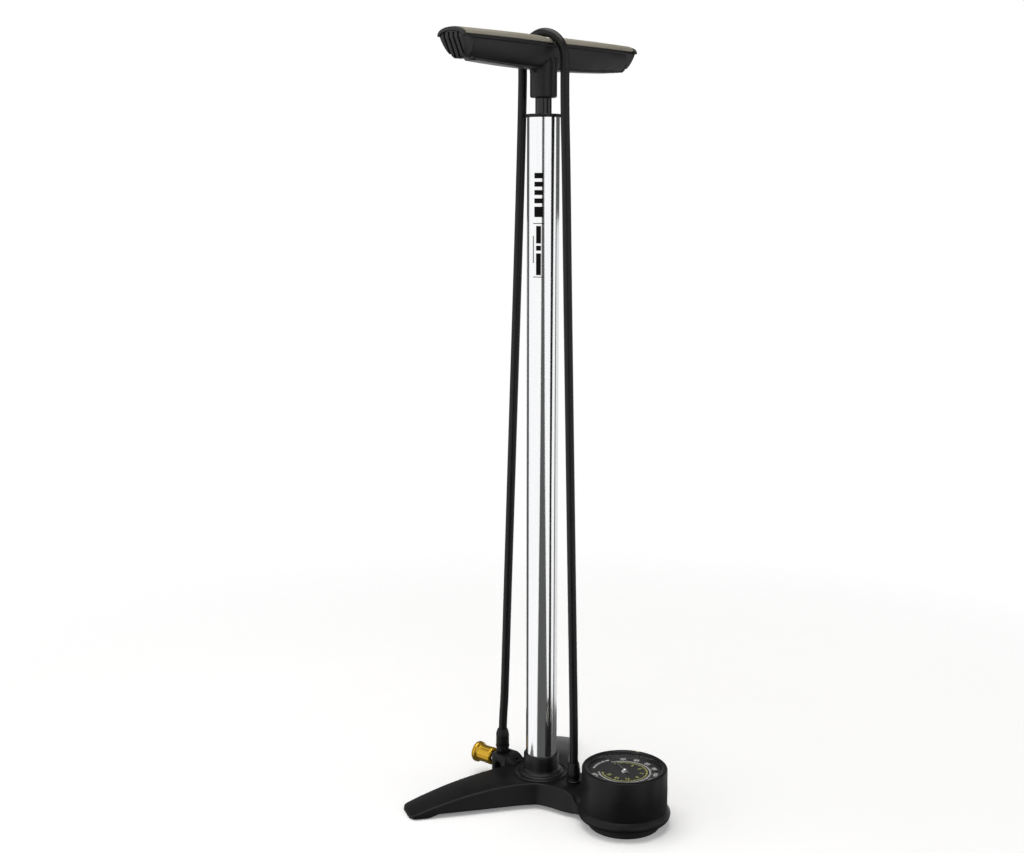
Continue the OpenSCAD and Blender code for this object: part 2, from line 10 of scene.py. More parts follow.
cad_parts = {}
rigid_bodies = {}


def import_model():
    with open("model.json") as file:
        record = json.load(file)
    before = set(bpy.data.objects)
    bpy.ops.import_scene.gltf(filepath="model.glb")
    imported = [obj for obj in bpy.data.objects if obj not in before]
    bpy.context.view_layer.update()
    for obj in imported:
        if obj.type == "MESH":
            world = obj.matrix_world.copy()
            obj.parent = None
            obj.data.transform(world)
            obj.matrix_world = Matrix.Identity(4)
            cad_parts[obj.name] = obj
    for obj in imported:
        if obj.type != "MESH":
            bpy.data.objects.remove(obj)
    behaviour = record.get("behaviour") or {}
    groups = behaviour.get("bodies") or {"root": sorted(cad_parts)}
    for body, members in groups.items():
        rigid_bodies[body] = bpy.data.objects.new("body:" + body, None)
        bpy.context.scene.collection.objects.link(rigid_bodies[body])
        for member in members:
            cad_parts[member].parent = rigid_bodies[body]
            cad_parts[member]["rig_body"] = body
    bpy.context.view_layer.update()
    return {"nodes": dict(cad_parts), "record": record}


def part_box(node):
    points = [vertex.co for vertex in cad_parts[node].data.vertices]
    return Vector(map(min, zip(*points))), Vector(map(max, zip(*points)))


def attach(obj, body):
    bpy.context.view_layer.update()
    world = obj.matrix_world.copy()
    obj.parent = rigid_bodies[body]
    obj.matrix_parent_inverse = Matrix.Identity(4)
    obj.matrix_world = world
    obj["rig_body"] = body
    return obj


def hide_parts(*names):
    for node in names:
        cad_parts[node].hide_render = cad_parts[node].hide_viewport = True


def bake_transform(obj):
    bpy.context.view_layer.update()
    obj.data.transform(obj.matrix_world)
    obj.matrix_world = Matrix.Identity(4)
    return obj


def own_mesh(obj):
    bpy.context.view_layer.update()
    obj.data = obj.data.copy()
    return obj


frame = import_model()

MM = 0.001

# ---- Places, in millimetres, read from the CAD nodes ----


def low_of(node):
    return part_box(node)[0] / MM


def high_of(node):
    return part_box(node)[1] / MM


def middle_of(node):
    return (low_of(node) + high_of(node)) / 2


AXIS_Y = middle_of("barrel_tube").y
BARREL_R = (high_of("barrel_tube").x - low_of("barrel_tube").x) / 2
BARREL_TOP = high_of("barrel_tube").z
DECK_Z = low_of("barrel_collar").z
GAUGE_Y = middle_of("gauge_housing").y
GAUGE_TOP = high_of("gauge_housing").z
DIAL_Z = high_of("gauge_dial").z
INLET_Y = middle_of("hose_nut_base").y
CHUCK_Y = middle_of("hose_nut_chuck").y
CHUCK_Z = middle_of("chuck_sleeve").z
PART_Z = low_of("handle_cover").z
HUB_LOW = low_of("handle_body").z
GAUGE_REACH = AXIS_Y - GAUGE_Y
BARREL_AXIS = (0, AXIS_Y, 0)
GAUGE_AXIS = (0, GAUGE_Y, 0)

# ---- Camera: level with the upper barrel, looking down a little ----

AZIMUTH = math.radians(-49.77)
PITCH = math.radians(9.12)


def make_camera():
    camera = bpy.data.objects.new("camera", bpy.data.cameras.new("camera"))
    bpy.context.scene.collection.objects.link(camera)
    camera.location = (-1.028, -0.802, 0.600)
    camera.rotation_euler = (math.pi / 2 - PITCH, 0, AZIMUTH)
    camera.data.sensor_width = 36
    camera.data.lens = 49.85
    camera.data.shift_y = -0.02
    camera.data.clip_start = 0.01
    camera.data.clip_end = 50
    bpy.context.scene.camera = camera


make_camera()

# ---- Mesh helpers: points are in millimetres in the frame, about a stated centre ----


def link_data(name, data):
    """Object in the scene that carries the mesh or curve."""
    obj = bpy.data.objects.new(name, data)
    bpy.context.scene.collection.objects.link(obj)
    return obj


def polar(r, a, z):
    """Point at radius r, in the direction a, at height z."""
    return (r * math.cos(a), r * math.sin(a), z)


def spaced(low, high, steps):
    """Evenly spaced values from low to high, with that many steps between them."""
    return [low + (high - low) * k / steps for k in range(steps + 1)]


def circle(steps):
    """Directions evenly spaced all the way round."""
    return [2 * math.pi * k / steps for k in range(steps)]


def new_object(name, verts, faces, centre=(0, 0, 0)):
    """Mesh object with merged points and outward faces."""
    mesh = bpy.data.meshes.new(name)
    base = Vector(centre)
    mesh.from_pydata([(base + Vector(v)) * MM for v in verts], [], faces)
    shell = bmesh.new()
    shell.from_mesh(mesh)
    bmesh.ops.remove_doubles(shell, verts=shell.verts, dist=1e-6)
    bmesh.ops.recalc_face_normals(shell, faces=shell.faces)
    shell.to_mesh(mesh)
    shell.free()
    obj = link_data(name, mesh)
    smooth(obj)
    return obj


def smooth(obj, angle=35):
    """Smooth shading, with the edges that turn more than the angle kept sharp."""
    for polygon in obj.data.polygons:
        polygon.use_smooth = True
    obj.data.set_sharp_from_angle(angle=math.radians(angle))


CORNER_STEPS = 4
NEARLY_STRAIGHT = math.radians(165)


def round_corners(points, radius):
    """The closed outline with each corner turned into an arc of about that radius."""
    out = []
    count = len(points)
    for i in range(count):
        corner = Vector(points[i])
        back = Vector(points[i - 1]) - corner
        ahead = Vector(points[(i + 1) % count]) - corner
        turn = back.angle(ahead) if back.length > 1e-9 and ahead.length > 1e-9 else math.pi
        if turn > NEARLY_STRAIGHT:
            out.append(tuple(corner))
            continue
        reach = min(radius / math.tan(turn / 2), back.length * 0.45, ahead.length * 0.45)
        start = corner + back.normalized() * reach
        end = corner + ahead.normalized() * reach
        for k in range(CORNER_STEPS + 1):
            t = k / CORNER_STEPS
            point = start * (1 - t) ** 2 + corner * 2 * t * (1 - t) + end * t * t
            out.append(tuple(point))
    return out


def lathe(name, outline, centre, steps=96, turn=None, radius=0.0):
    """Turns a closed outline of (radius, height) about an upright axis through centre."""
    if radius:
        outline = round_corners(outline, radius)
    rings = [[polar(max(r, 0), a, z) for r, z in outline] for a in circle(steps)]
    if turn is not None:
        rings = [[turn @ Vector(p) for p in ring] for ring in rings]
    obj = loft(name, rings, centre, closed=True)
    tidy_poles(obj)
    return obj


def tidy_poles(obj):
    """Removes the faces and edges that collapse where an outline touches its axis."""
    shell = bmesh.new()
    shell.from_mesh(obj.data)
    bmesh.ops.dissolve_degenerate(shell, dist=1e-7, edges=shell.edges)
    shell.to_mesh(obj.data)
    shell.free()
    smooth(obj)


def loft(name, rings, centre=(0, 0, 0), closed=False):
    """Joins rings of the same number of points, and caps the two ends unless the rings close."""
    count = len(rings[0])
    verts = [p for ring in rings for p in ring]
    faces = []
    last = len(rings) if closed else len(rings) - 1
    for i in range(last):
        here = i * count
        there = ((i + 1) % len(rings)) * count
        for j in range(count):
            n = (j + 1) % count
            faces.append((here + j, there + j, there + n, here + n))
    if not closed:
        faces.append(tuple(range(count)))
        faces.append(tuple(reversed(range((len(rings) - 1) * count, len(rings) * count))))
    return new_object(name, verts, faces, centre)


def join(name, parts):
    """One object made of several, as one mesh."""
    shell = bmesh.new()
    for part in parts:
        shell.from_mesh(part.data)
    mesh = bpy.data.meshes.new(name)
    shell.to_mesh(mesh)
    shell.free()
    for part in parts:
        bpy.data.objects.remove(part)
    obj = link_data(name, mesh)
    smooth(obj)
    return obj


def evaluated_mesh(obj):
    """Mesh of the object as it shows: with its modifiers applied, or its letters filled in."""
    bpy.context.view_layer.update()
    graph = bpy.context.evaluated_depsgraph_get()
    return bpy.data.meshes.new_from_object(obj.evaluated_get(graph))


def apply_modifiers(obj):
    mesh = evaluated_mesh(obj)
    obj.modifiers.clear()
    obj.data = mesh


def bevel(obj, width, segments=2, angle=40):
    modifier = obj.modifiers.new("bevel", "BEVEL")
    modifier.width = width * MM
    modifier.segments = segments
    modifier.limit_method = "ANGLE"
    modifier.angle_limit = math.radians(angle)
    apply_modifiers(obj)
    smooth(obj)


def cut(obj, tools):
    """Takes the tools away from obj."""
    for tool in tools:
        modifier = obj.modifiers.new("cut", "BOOLEAN")
        modifier.operation = "DIFFERENCE"
        modifier.solver = "EXACT"
        modifier.object = tool
        apply_modifiers(obj)
        bpy.data.objects.remove(tool)


def ease(t):
    t = min(1, max(0, t))
    return t * t * (3 - 2 * t)


# ---- Materials ----


def node_material(name):
    material = bpy.data.materials.new(name)
    material.use_nodes = True
    shader = material.node_tree.nodes["Principled BSDF"]
    return material, material.node_tree, shader


def noise(tree, scale, detail=2.0, stretch=(1, 1, 1)):
    coordinates = tree.nodes.new("ShaderNodeTexCoord")
    mapping = tree.nodes.new("ShaderNodeMapping")
    mapping.inputs["Scale"].default_value = stretch
    texture = tree.nodes.new("ShaderNodeTexNoise")
    texture.inputs["Scale"].default_value = scale
    texture.inputs["Detail"].default_value = detail
    tree.links.new(coordinates.outputs["Object"], mapping.inputs["Vector"])
    tree.links.new(mapping.outputs["Vector"], texture.inputs["Vector"])
    return texture.outputs["Fac"]


def spread(tree, source, low, high, start=0.35, end=0.65):
    """Maps a noise onto a range of values."""
    ranged = tree.nodes.new("ShaderNodeMapRange")
    ranged.inputs["From Min"].default_value = start
    ranged.inputs["From Max"].default_value = end
    ranged.inputs["To Min"].default_value = low
    ranged.inputs["To Max"].default_value = high
    tree.links.new(source, ranged.inputs["Value"])
    return ranged.outputs["Result"]


def grey(value):
    return (value, value, value)


def blend_colours(tree, factor, first, second):
    mix = tree.nodes.new("ShaderNodeMix")
    mix.data_type = "RGBA"
    mix.inputs["A"].default_value = (*first, 1)
    mix.inputs["B"].default_value = (*second, 1)
    tree.links.new(factor, mix.inputs["Factor"])
    return mix.outputs["Result"]


def bump(tree, shader, height, strength, distance):
    node = tree.nodes.new("ShaderNodeBump")
    node.inputs["Strength"].default_value = strength
    node.inputs["Distance"].default_value = distance * MM
    tree.links.new(height, node.inputs["Height"])
    tree.links.new(node.outputs["Normal"], shader.inputs["Normal"])


def surface(
    name,
    colour,
    other=None,
    rough=(0.4, 0.5),
    metal=0.0,
    grain=1500,
    depth=0.02,
    strength=0.3,
    patches=60,
    stretch=(1, 1, 1),
    level=0.5,
):
    """A finish with fine grain, slow patches of colour, and roughness that varies with the patches."""
    material, tree, shader = node_material(name)
    fine = noise(tree, grain, 3, stretch)
    slow = noise(tree, patches, 4, stretch)
    tint = blend_colours(tree, spread(tree, slow, 0, 1), colour, other or colour)
    tree.links.new(tint, shader.inputs["Base Color"])
    tree.links.new(spread(tree, slow, rough[0], rough[1], 0.3, 0.7), shader.inputs["Roughness"])
    bump(tree, shader, fine, strength, depth)
    shader.inputs["Metallic"].default_value = metal
    shader.inputs["Specular IOR Level"].default_value = level
    return material


def polished_tube():
    """Bright drawn tube, with faint streaks along its length."""
    material, tree, shader = node_material("polished_tube")
    streaks = noise(tree, 900, 2, (1, 1, 0.01))
    tree.links.new(spread(tree, streaks, 0.07, 0.13), shader.inputs["Roughness"])
    bump(tree, shader, streaks, 0.06, 0.01)
    shader.inputs["Metallic"].default_value = 1
    tint = blend_colours(tree, spread(tree, streaks, 0, 1), (0.86, 0.87, 0.88), (0.92, 0.92, 0.93))
    tree.links.new(tint, shader.inputs["Base Color"])
    return material


def clear_lens():
    """Clear window: nearly all of what lies under it shows, with a faint gloss on top."""
    material, tree, shader = node_material("clear_lens")
    shader.inputs["Base Color"].default_value = (0.03, 0.03, 0.03, 1)
    shader.inputs["Alpha"].default_value = 0.14
    shader.inputs["Specular IOR Level"].default_value = 1
    smears = noise(tree, 90, 3)
    tree.links.new(spread(tree, smears, 0.04, 0.1), shader.inputs["Roughness"])
    return material


METAL_GRAIN = {"metal": 1, "grain": 2200, "depth": 0.01, "strength": 0.25, "patches": 200}
PRINT_GRAIN = {"grain": 2600, "depth": 0.005, "strength": 0.2, "patches": 300}

BLACK_CAST = surface(
    "black_cast", (0.0045, 0.0046, 0.0048), (0.0065, 0.0066, 0.0068), (0.36, 0.46),
    grain=1900, depth=0.03, strength=0.35, patches=45, level=0.22,
)
COLLAR_CAST = surface(
    "collar_cast", (0.004, 0.0041, 0.0043), (0.006, 0.0061, 0.0063), (0.36, 0.42),
    grain=1900, strength=0.25, patches=45, level=0.3,
)
BLACK_PLASTIC = surface(
    "black_plastic", (0.0045, 0.0046, 0.0048), (0.0068, 0.0068, 0.007), (0.3, 0.42),
    grain=2300, level=0.24,
)
GRIP_PLASTIC = surface(
    "grip_plastic", grey(0.0095), grey(0.014), (0.36, 0.48),
    grain=1700, depth=0.03, strength=0.4, patches=70, level=0.3,
)
# The grip's black plastic with a lighter colour: a painted highlight along the underside keel strip
KEEL_PLASTIC_PAINTED_HIGHLIGHT = surface(
    "keel_plastic_painted_highlight", grey(0.013), grey(0.019), (0.3, 0.42),
    grain=2300, patches=90, level=0.35,
)
END_PLASTIC = surface(
    "end_plastic", grey(0.02), grey(0.028), (0.42, 0.55),
    grain=2100, strength=0.35, patches=90, level=0.35,
)
BLACK_STEEL = surface(
    "black_steel", grey(0.01), grey(0.018), (0.3, 0.42),
    metal=0.6, grain=2200, depth=0.01, strength=0.25, patches=150,
)
ROD_COAT = surface(
    "rod_coat", grey(0.006), grey(0.01), (0.14, 0.22),
    grain=2600, depth=0.008, strength=0.2, patches=80, stretch=(1, 1, 0.05), level=0.45,
)
COVER_METAL = surface(
    "cover_metal", (0.3, 0.275, 0.215), (0.36, 0.335, 0.27), (0.38, 0.5),
    metal=0.35, grain=2100, depth=0.03, strength=0.45, patches=120, stretch=(0.06, 1, 1),
)
HOSE_RUBBER = surface(
    "hose_rubber", grey(0.005), grey(0.0085), (0.26, 0.36),
    grain=2600, level=0.26,
)
SOFT_RUBBER = surface(
    "soft_rubber", grey(0.008), grey(0.014), (0.6, 0.75),
    grain=1800, depth=0.03, strength=0.4, patches=80, level=0.25,
)
GOLD = surface(
    "gold_sleeve", (0.6, 0.36, 0.035), (0.66, 0.41, 0.05), (0.3, 0.38),
    metal=1, grain=2600, depth=0.006, strength=0.15,
)
STEEL = surface("steel", (0.58, 0.58, 0.59), (0.68, 0.68, 0.69), (0.25, 0.4), **METAL_GRAIN)
BRASS = surface("yellow_brass", (0.6, 0.42, 0.17), (0.7, 0.5, 0.22), (0.3, 0.42), **METAL_GRAIN)
MOVEMENT = surface("movement_metal", (0.6, 0.61, 0.63), (0.7, 0.7, 0.71), (0.3, 0.45), **METAL_GRAIN)
NEEDLE = surface(
    "needle_metal", (0.62, 0.63, 0.65), (0.75, 0.75, 0.77), (0.18, 0.3),
    metal=1, grain=2600, depth=0.005, strength=0.2, patches=300,
)
DIAL = surface(
    "dial_face", (0.03, 0.03, 0.031), (0.037, 0.037, 0.038), (0.5, 0.6),
    grain=2600, depth=0.01, strength=0.2, patches=90, level=0.3,
)
PRINT_WHITE = surface("print_white", (0.72, 0.72, 0.7), (0.82, 0.82, 0.8), (0.45, 0.55), **PRINT_GRAIN)
PRINT_LIME = surface("print_lime", (0.55, 0.56, 0.16), (0.65, 0.66, 0.22), (0.45, 0.55), **PRINT_GRAIN)
PRINT_BLACK = surface(
    "print_black", grey(0.003), grey(0.005), (0.5, 0.6), **PRINT_GRAIN, level=0.08,
)
PRINT_GREY = surface("print_grey", grey(0.2), grey(0.26), (0.4, 0.5), **PRINT_GRAIN)
TUBE_METAL = polished_tube()
LENS = clear_lens()

SLOT_MATERIALS = {
    "black_cast": BLACK_CAST,
    "black_plastic": BLACK_PLASTIC,
    "polished_tube": TUBE_METAL,
    "movement_metal": MOVEMENT,
    "steel": STEEL,
    "yellow_brass": BRASS,
    "soft_rubber": SOFT_RUBBER,
    "hose_rubber": HOSE_RUBBER,
    "grip_cover": COVER_METAL,
    "gold_sleeve": GOLD,
    "dial_face": DIAL,
    "clear_lens": LENS,
    "marker_paint": PRINT_LIME,
}

NODE_SLOTS = {part["node"]: part["material_slot"] for part in frame["record"]["subparts"]}


def dress_nodes():
    """Every CAD node gets its slot's material, before any is replaced."""
    for name, obj in frame["nodes"].items():
        obj.data.materials.clear()
        obj.data.materials.append(SLOT_MATERIALS[NODE_SLOTS[name]])
        smooth(obj, 30)


def place(obj, body, material, slot, *nodes):
    """Gives a piece its material and its body, and hides the CAD nodes it stands for. The slot is not used.
    """
    obj.data.materials.clear()
    obj.data.materials.append(material)
    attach(obj, body)
    if nodes:
        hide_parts(*nodes)


def refine(node, width, material=None):
    """A piece with a CAD node's shape and softened edges."""
    source = frame["nodes"][node]
    obj = link_data(node + "_soft", source.data.copy())
    shell = bmesh.new()
    shell.from_mesh(obj.data)
    bmesh.ops.remove_doubles(shell, verts=shell.verts, dist=2e-6)
    bmesh.ops.dissolve_limit(
        shell, angle_limit=math.radians(1), verts=shell.verts, edges=shell.edges
    )
    shell.to_mesh(obj.data)
    shell.free()
    bevel(obj, width)
    slot = NODE_SLOTS[node]
    place(obj, source["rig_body"], material or SLOT_MATERIALS[slot], slot, node)


dress_nodes()

# ---- Hose: over the handle, from the base fitting to the parked chuck ----

HOSE_ROUTE = [
    (0, -40.4, 41), (0, -40.3, 60), (0, -39.6, 100), (0, -37, 200), (0, -34.4, 300),
    (0, -31.8, 400), (0, -29.3, 500), (0, -26.9, 600), (0, -25.2, 655), (0, -24.7, 685),
    (0, -24.6, 706), (0, -22.7, 715.4), (0, -17.4, 723.4), (0, -9.4, 728.7), (0, 0, 730.6),
    (0, 9.4, 728.7), (0, 17.4, 723.4), (0, 22.7, 715.4), (0, 24.6, 706), (0, 24.9, 685),
    (0, 25.6, 655), (0, 27.4, 600), (0, 31.2, 500), (0, 35.2, 400), (0, 39.2, 300),
    (0, 43.2, 200), (0, 47, 100), (0, 49, 70), (0, 49.8, 53),
]
HOSE_R = 4.1


def smooth_route(points, steps):
    """A smooth curve through the points, with that many steps between each two."""
    route = []
    last = len(points) - 1
    for i in range(last):
        a = Vector(points[max(0, i - 1)])
        b = Vector(points[i])
        c = Vector(points[i + 1])
        d = Vector(points[min(last, i + 2)])
        for k in range(steps):
            t = k / steps
            cubic = (3 * b - a - 3 * c + d) * t**3
            route.append(0.5 * (2 * b + (c - a) * t + (2 * a - 5 * b + 4 * c - d) * t**2 + cubic))
    route.append(Vector(points[-1]))
    return route


def tube_rings(path, radius, sides):
    """Rings round a path that stays in a plane across X."""
    rings = []
    for i, at in enumerate(path):
        heading = (path[min(len(path) - 1, i + 1)] - path[max(0, i - 1)]).normalized()
        side = Vector((1, 0, 0))
        up = heading.cross(side).normalized()
        rings.append([at + radius * (math.cos(a) * side + math.sin(a) * up) for a in circle(sides)])
    return rings


def make_hose():
    path = [p + Vector(BARREL_AXIS) for p in smooth_route(HOSE_ROUTE, 8)]
    hose = loft("hose", tube_rings(path, HOSE_R, 28))
    hose.data.materials.append(HOSE_RUBBER)
    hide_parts("hose_tube")
    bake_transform(hose)


make_hose()

# ---- Base casting: one hollow tripod, with the gauge's flange blended into its front leg ----

# Along a leg, s is the distance from the barrel's axis.
LEG_REACH = 137
LEG_UNDER = 4
RAMP_FROM = 20
RAMP_DROP = 20.5
TIP_CORNER = 4.5
TIP_RAMP_FROM = 112
TIP_RAMP = 9
TIP_DROP = 3.2
SOLE_FROM = 121.5
LEG_HOLLOW_END = 110
FRONT_END = 74
FRONT_DROP = 10.5
FRONT_HOLLOW_END = 57
FLANGE_LOW = 8
FLANGE_R = 43.5
FLANGE_SHOULDER = 14
NECK_R = FLANGE_R - 0.3
NECK_HALF = 21.5
NECK_FILLET = 24
NECK_RISE = 4.4
WEB_FLARE = 0.2
CAST_WALL = 3.5
EDGE_R = 1.2
SOCKET_BASE = 8.5
SOCKET_WALL_R = 27
BORE_CLEAR_R = 18


def leg_top(s):
    """Height of a side leg's deck, which slopes ever more steeply to the tip."""
    along = max(0, s - RAMP_FROM) / (LEG_REACH - RAMP_FROM)
    return DECK_Z - RAMP_DROP * along**1.9


def leg_half(s):
    """Half the width of a side leg: a slow taper, wider at the hub, with rounded corners at the tip."""
    past = s - (LEG_REACH - TIP_CORNER)
    draw = 0 if past <= 0 else TIP_CORNER - math.sqrt(max(0, TIP_CORNER**2 - past**2))
    return 25 - 0.068 * s + 4.5 * math.exp(-(s - 14) / 9) - draw


def leg_floor(s):
    """Height of a side leg's underside, which comes down to the ground at the tip."""
    return LEG_UNDER - TIP_DROP * ease((s - TIP_RAMP_FROM) / TIP_RAMP)


def front_top(s):
    return DECK_Z - FRONT_DROP * ease((s - 40) / 36)


def hub_swell(s):
    """How much wider the neck is beside the hub."""
    return 6 * math.exp(-(s - 16) / 8)


def front_half(s):
    """The neck runs straight, then a fillet carries its side over into the round flange."""
    across = NECK_HALF + NECK_FILLET
    span = math.sqrt((NECK_R + NECK_FILLET) ** 2 - across**2)
    start = GAUGE_REACH - span
    meet = GAUGE_REACH - span * NECK_R / (NECK_R + NECK_FILLET)
    if s <= start:
        return NECK_HALF + hub_swell(s)
    if s <= meet:
        fillet = across - math.sqrt(NECK_FILLET**2 - (s - start) ** 2)
        return fillet + hub_swell(s) * (meet - s) / (meet - start)
    return math.sqrt(max(0, NECK_R**2 - (GAUGE_REACH - s) ** 2))


def front_floor(s):
    return LEG_UNDER + NECK_RISE * ease((s - 58) / 14)


def front_sink(s):
    """How far the deck's edge falls below its middle, to run into the flange's shoulder."""
    return max(0, front_top(s) - FLANGE_SHOULDER) * ease((s - 52) / 15)


class Leg:
    """The shape of one leg: its deck's height, half width, underside and reach along its middle."""

    def __init__(self, front):
        self.top = front_top if front else leg_top
        self.half = front_half if front else leg_half
        self.floor = front_floor if front else leg_floor
        self.far = FRONT_END if front else LEG_REACH
        self.hollow_far = FRONT_HOLLOW_END if front else LEG_HOLLOW_END
        self.front = front

    def inside(self, r, phi, widen, flare, far):
        """Whether the point at radius r, in the direction phi off the middle, lies in the outline."""
        s = r * math.cos(phi)
        draft = flare * (self.top(s) - LEG_UNDER)
        if self.front:
            draft *= 1 - ease((s - 48) / 16)
        return s < far and r * abs(math.sin(phi)) < self.half(s) + widen + draft

    def reach(self, phi, widen, flare, far):
        """How far out a direction stays inside the leg: stepped outwards, then halved in on the edge."""
        low = 20.0
        while low < 160 and self.inside(low + 0.5, phi, widen, flare, far):
            low += 0.5
        high = low + 0.5
        for _ in range(12):
            r = (low + high) / 2
            if self.inside(r, phi, widen, flare, far):
                low = r
            else:
                high = r
        return low

    def deck(self, r, phi):
        """Height of the crowned deck at a point."""
        s = r * math.cos(phi)
        half = self.half(s)
        across = r * abs(math.sin(phi))
        z = self.top(s) + (1 - min(1, across / half) ** 2) * ease((r - 30) / 20)
        if self.front:
            z -= front_sink(s) * ease((across - 12) / (half - 12))
        return z

    def section(self, phi):
        """Outline of the casting in one direction: out over the deck, down the web, back underneath."""
        out = self.reach(phi, 0, 0, self.far)
        low = self.reach(phi, 0, WEB_FLARE, self.far + 1)
        hollow = max(28.5, self.reach(phi, -CAST_WALL, 0, self.hollow_far))
        rim = SOCKET_WALL_R + 0.5
        points = [(BORE_CLEAR_R, DECK_Z - 0.2), (rim, DECK_Z - 0.2)]
        for k in range(1, 33):
            r = rim + (out - EDGE_R - rim) * k / 32
            points.append((r, self.deck(r, phi)))
        edge = self.deck(out - EDGE_R, phi)
        for a in (30, 60, 90):
            turn = math.radians(a)
            across = out - EDGE_R + EDGE_R * math.sin(turn)
            points.append((across, edge - EDGE_R + EDGE_R * math.cos(turn)))
        low_z = self.floor(low * math.cos(phi))
        for k in range(1, 9):
            share = k / 8
            points.append((out + (low - out) * share, edge - EDGE_R + (low_z - edge + EDGE_R) * share))
        points.append((low - 1.6, low_z))
        sole = min(low - 1.7, max(hollow + 1.4, SOLE_FROM / math.cos(phi)))
        points.append((sole, self.floor(sole * math.cos(phi))))
        return points + [
            (hollow + 1, self.floor((hollow + 1) * math.cos(phi)) + 0.4),
            (hollow, self.deck(hollow, phi) - CAST_WALL),
            (SOCKET_WALL_R, DECK_Z - CAST_WALL),
            (SOCKET_WALL_R, SOCKET_BASE),
            (BORE_CLEAR_R, SOCKET_BASE),
        ]


def fan_angles():
    """Directions off a leg's middle, closer together at the tip's corners and along the neck."""
    wide = [12, 13.5, 15, 16.5, 18]
    wide += [19 + 0.4 * k for k in range(13)]
    wide += [25, 27, 30, 33.5, 37.5, 42, 48, 54]
    half = [0.6 * k for k in range(1, 19)] + wide
    return [-60] + [-a for a in reversed(half)] + [0] + half


def cast_shell():
    rings = []
    for turn in range(3):
        leg = Leg(turn == 0)
        for off in fan_angles():
            around = math.radians(-90 + 120 * turn + off)
            section = leg.section(math.radians(max(off, -59.99)))
            rings.append([polar(r, around, z) for r, z in section])
    return loft("cast_shell", rings, BARREL_AXIS, closed=True)


def remesh(obj, voxel, passes):
    """Rebuilds the surface on an even grid, then relaxes it."""
    modifier = obj.modifiers.new("remesh", "REMESH")
    modifier.mode = "VOXEL"
    modifier.voxel_size = voxel * MM
    apply_modifiers(obj)
    soften = obj.modifiers.new("soften", "SMOOTH")
    soften.factor = 0.5
    soften.iterations = passes
    apply_modifiers(obj)
    smooth(obj, 180)


def make_base():
    shell = cast_shell()
    flange = lathe(
        "flange",
        [
            (31, FLANGE_LOW), (FLANGE_R - 3.4, FLANGE_LOW), (FLANGE_R - 1, 9.2), (FLANGE_R, 11.6),
            (FLANGE_R - 0.1, 13.6), (FLANGE_R - 1.4, 15.8), (FLANGE_R - 3.2, 17.4), (40.3, 18.2),
            (6.5, 18.2), (6.5, 12), (31, 12),
        ],
        GAUGE_AXIS,
    )
    base = join("base_shell", [shell, flange])
    remesh(base, voxel=0.85, passes=5)
    place(base, "base", BLACK_CAST, "black_cast", "base_casting")


def make_collar():
    """Ring that holds the barrel: a flat foot on the deck, a rounded bead, and a short wall."""
    foot = [
        (27.4, -0.6), (27.4, 0.2), (27, 0.75), (26.3, 1),
        (25.4, 0.9), (24, 0.35), (22, 0.3), (21.5, 0.7),
    ]
    bead = [
        (20.6, 1.4), (20.3, 2.1), (19.8, 2.6), (19.1, 2.9),
        (18.4, 3.2), (17.9, 3.8), (17.55, 4.8), (17.4, 6.5),
    ]
    outline = [(BARREL_R + 0.1, DECK_Z - 0.6)]
    outline += [(r, DECK_Z + z) for r, z in foot + bead]
    outline += [(17.2, 36), (17.1, 42.6), (16.8, 43.4), (16.3, 43.9), (15.7, 44), (BARREL_R + 0.1, 44)]
    collar = lathe("collar", outline, BARREL_AXIS, 128)
    place(collar, "base", COLLAR_CAST, "black_cast", "barrel_collar")


# ---- Barrel, rod and handle ----


def make_barrel():
    inner = BARREL_R - 1.5
    outline = [(inner, 14), (BARREL_R, 14), (BARREL_R, BARREL_TOP), (inner, BARREL_TOP)]
    tube = lathe("barrel", outline, BARREL_AXIS, 160)
    place(tube, "base", TUBE_METAL, "polished_tube", "barrel_tube")


def printed_bar(name, turn, width, low, high):
    """A thin printed patch that follows the barrel, centred on the direction turn."""
    outer = BARREL_R + 0.03
    inner = outer - 0.06
    half = width / 2 / BARREL_R
    steps = 10
    rings = []
    for k in range(steps + 1):
        a = turn + half * (2 * k / steps - 1)
        corners = [(outer, low), (outer, high), (inner, high), (inner, low)]
        rings.append([polar(r, a, z) for r, z in corners])
    return loft(name, rings, BARREL_AXIS)


PRINT_FACING = math.radians(-157)
NOTE_FACING = math.radians(-177)
# The bars of each kind: their width round the barrel, and the top and bottom of each
PRINT_BARS = {
    "bar": (8.6, [(605, 600), (597, 592.5), (589.5, 585), (582, 577.5), (574.5, 565)]),
    "line": (11, [(559.6, 558.9), (510.6, 509.9)]),
    "strip": (4.7, [(557, 541), (539, 534.5), (532, 512)]),
}


def make_print():
    """Plain bars in place of the printed words on the barrel."""
    bars = []
    for kind, (width, spans) in PRINT_BARS.items():
        for k, (high, low) in enumerate(spans):
            bars.append(printed_bar(f"{kind}_{k}", PRINT_FACING, width, low, high))
    mark = join("barrel_print", bars)
    place(mark, "base", PRINT_BLACK, "black_plastic")
    faint = printed_bar("barrel_note", NOTE_FACING, 1.3, 523, 548)
    place(faint, "base", PRINT_GREY, "black_plastic")


def make_cap():
    outline = [
        (8.2, BARREL_TOP - 0.02), (16.2, BARREL_TOP - 0.02), (16.3, BARREL_TOP + 2.2),
        (15.6, BARREL_TOP + 3), (8.2, BARREL_TOP + 3),
    ]
    cap = lathe("barrel_top_cap", outline, BARREL_AXIS, 96, radius=0.35)
    place(cap, "base", BLACK_PLASTIC, "black_plastic", "barrel_cap")


HANDLE_HALF = 125
WAIST_HALF = 12.4
GRIP_SWELL = 2.9
KEEL_Z = 697
KEEL_HALF = 6.4
CROWN_Z = 727.3
SADDLE = 2.1


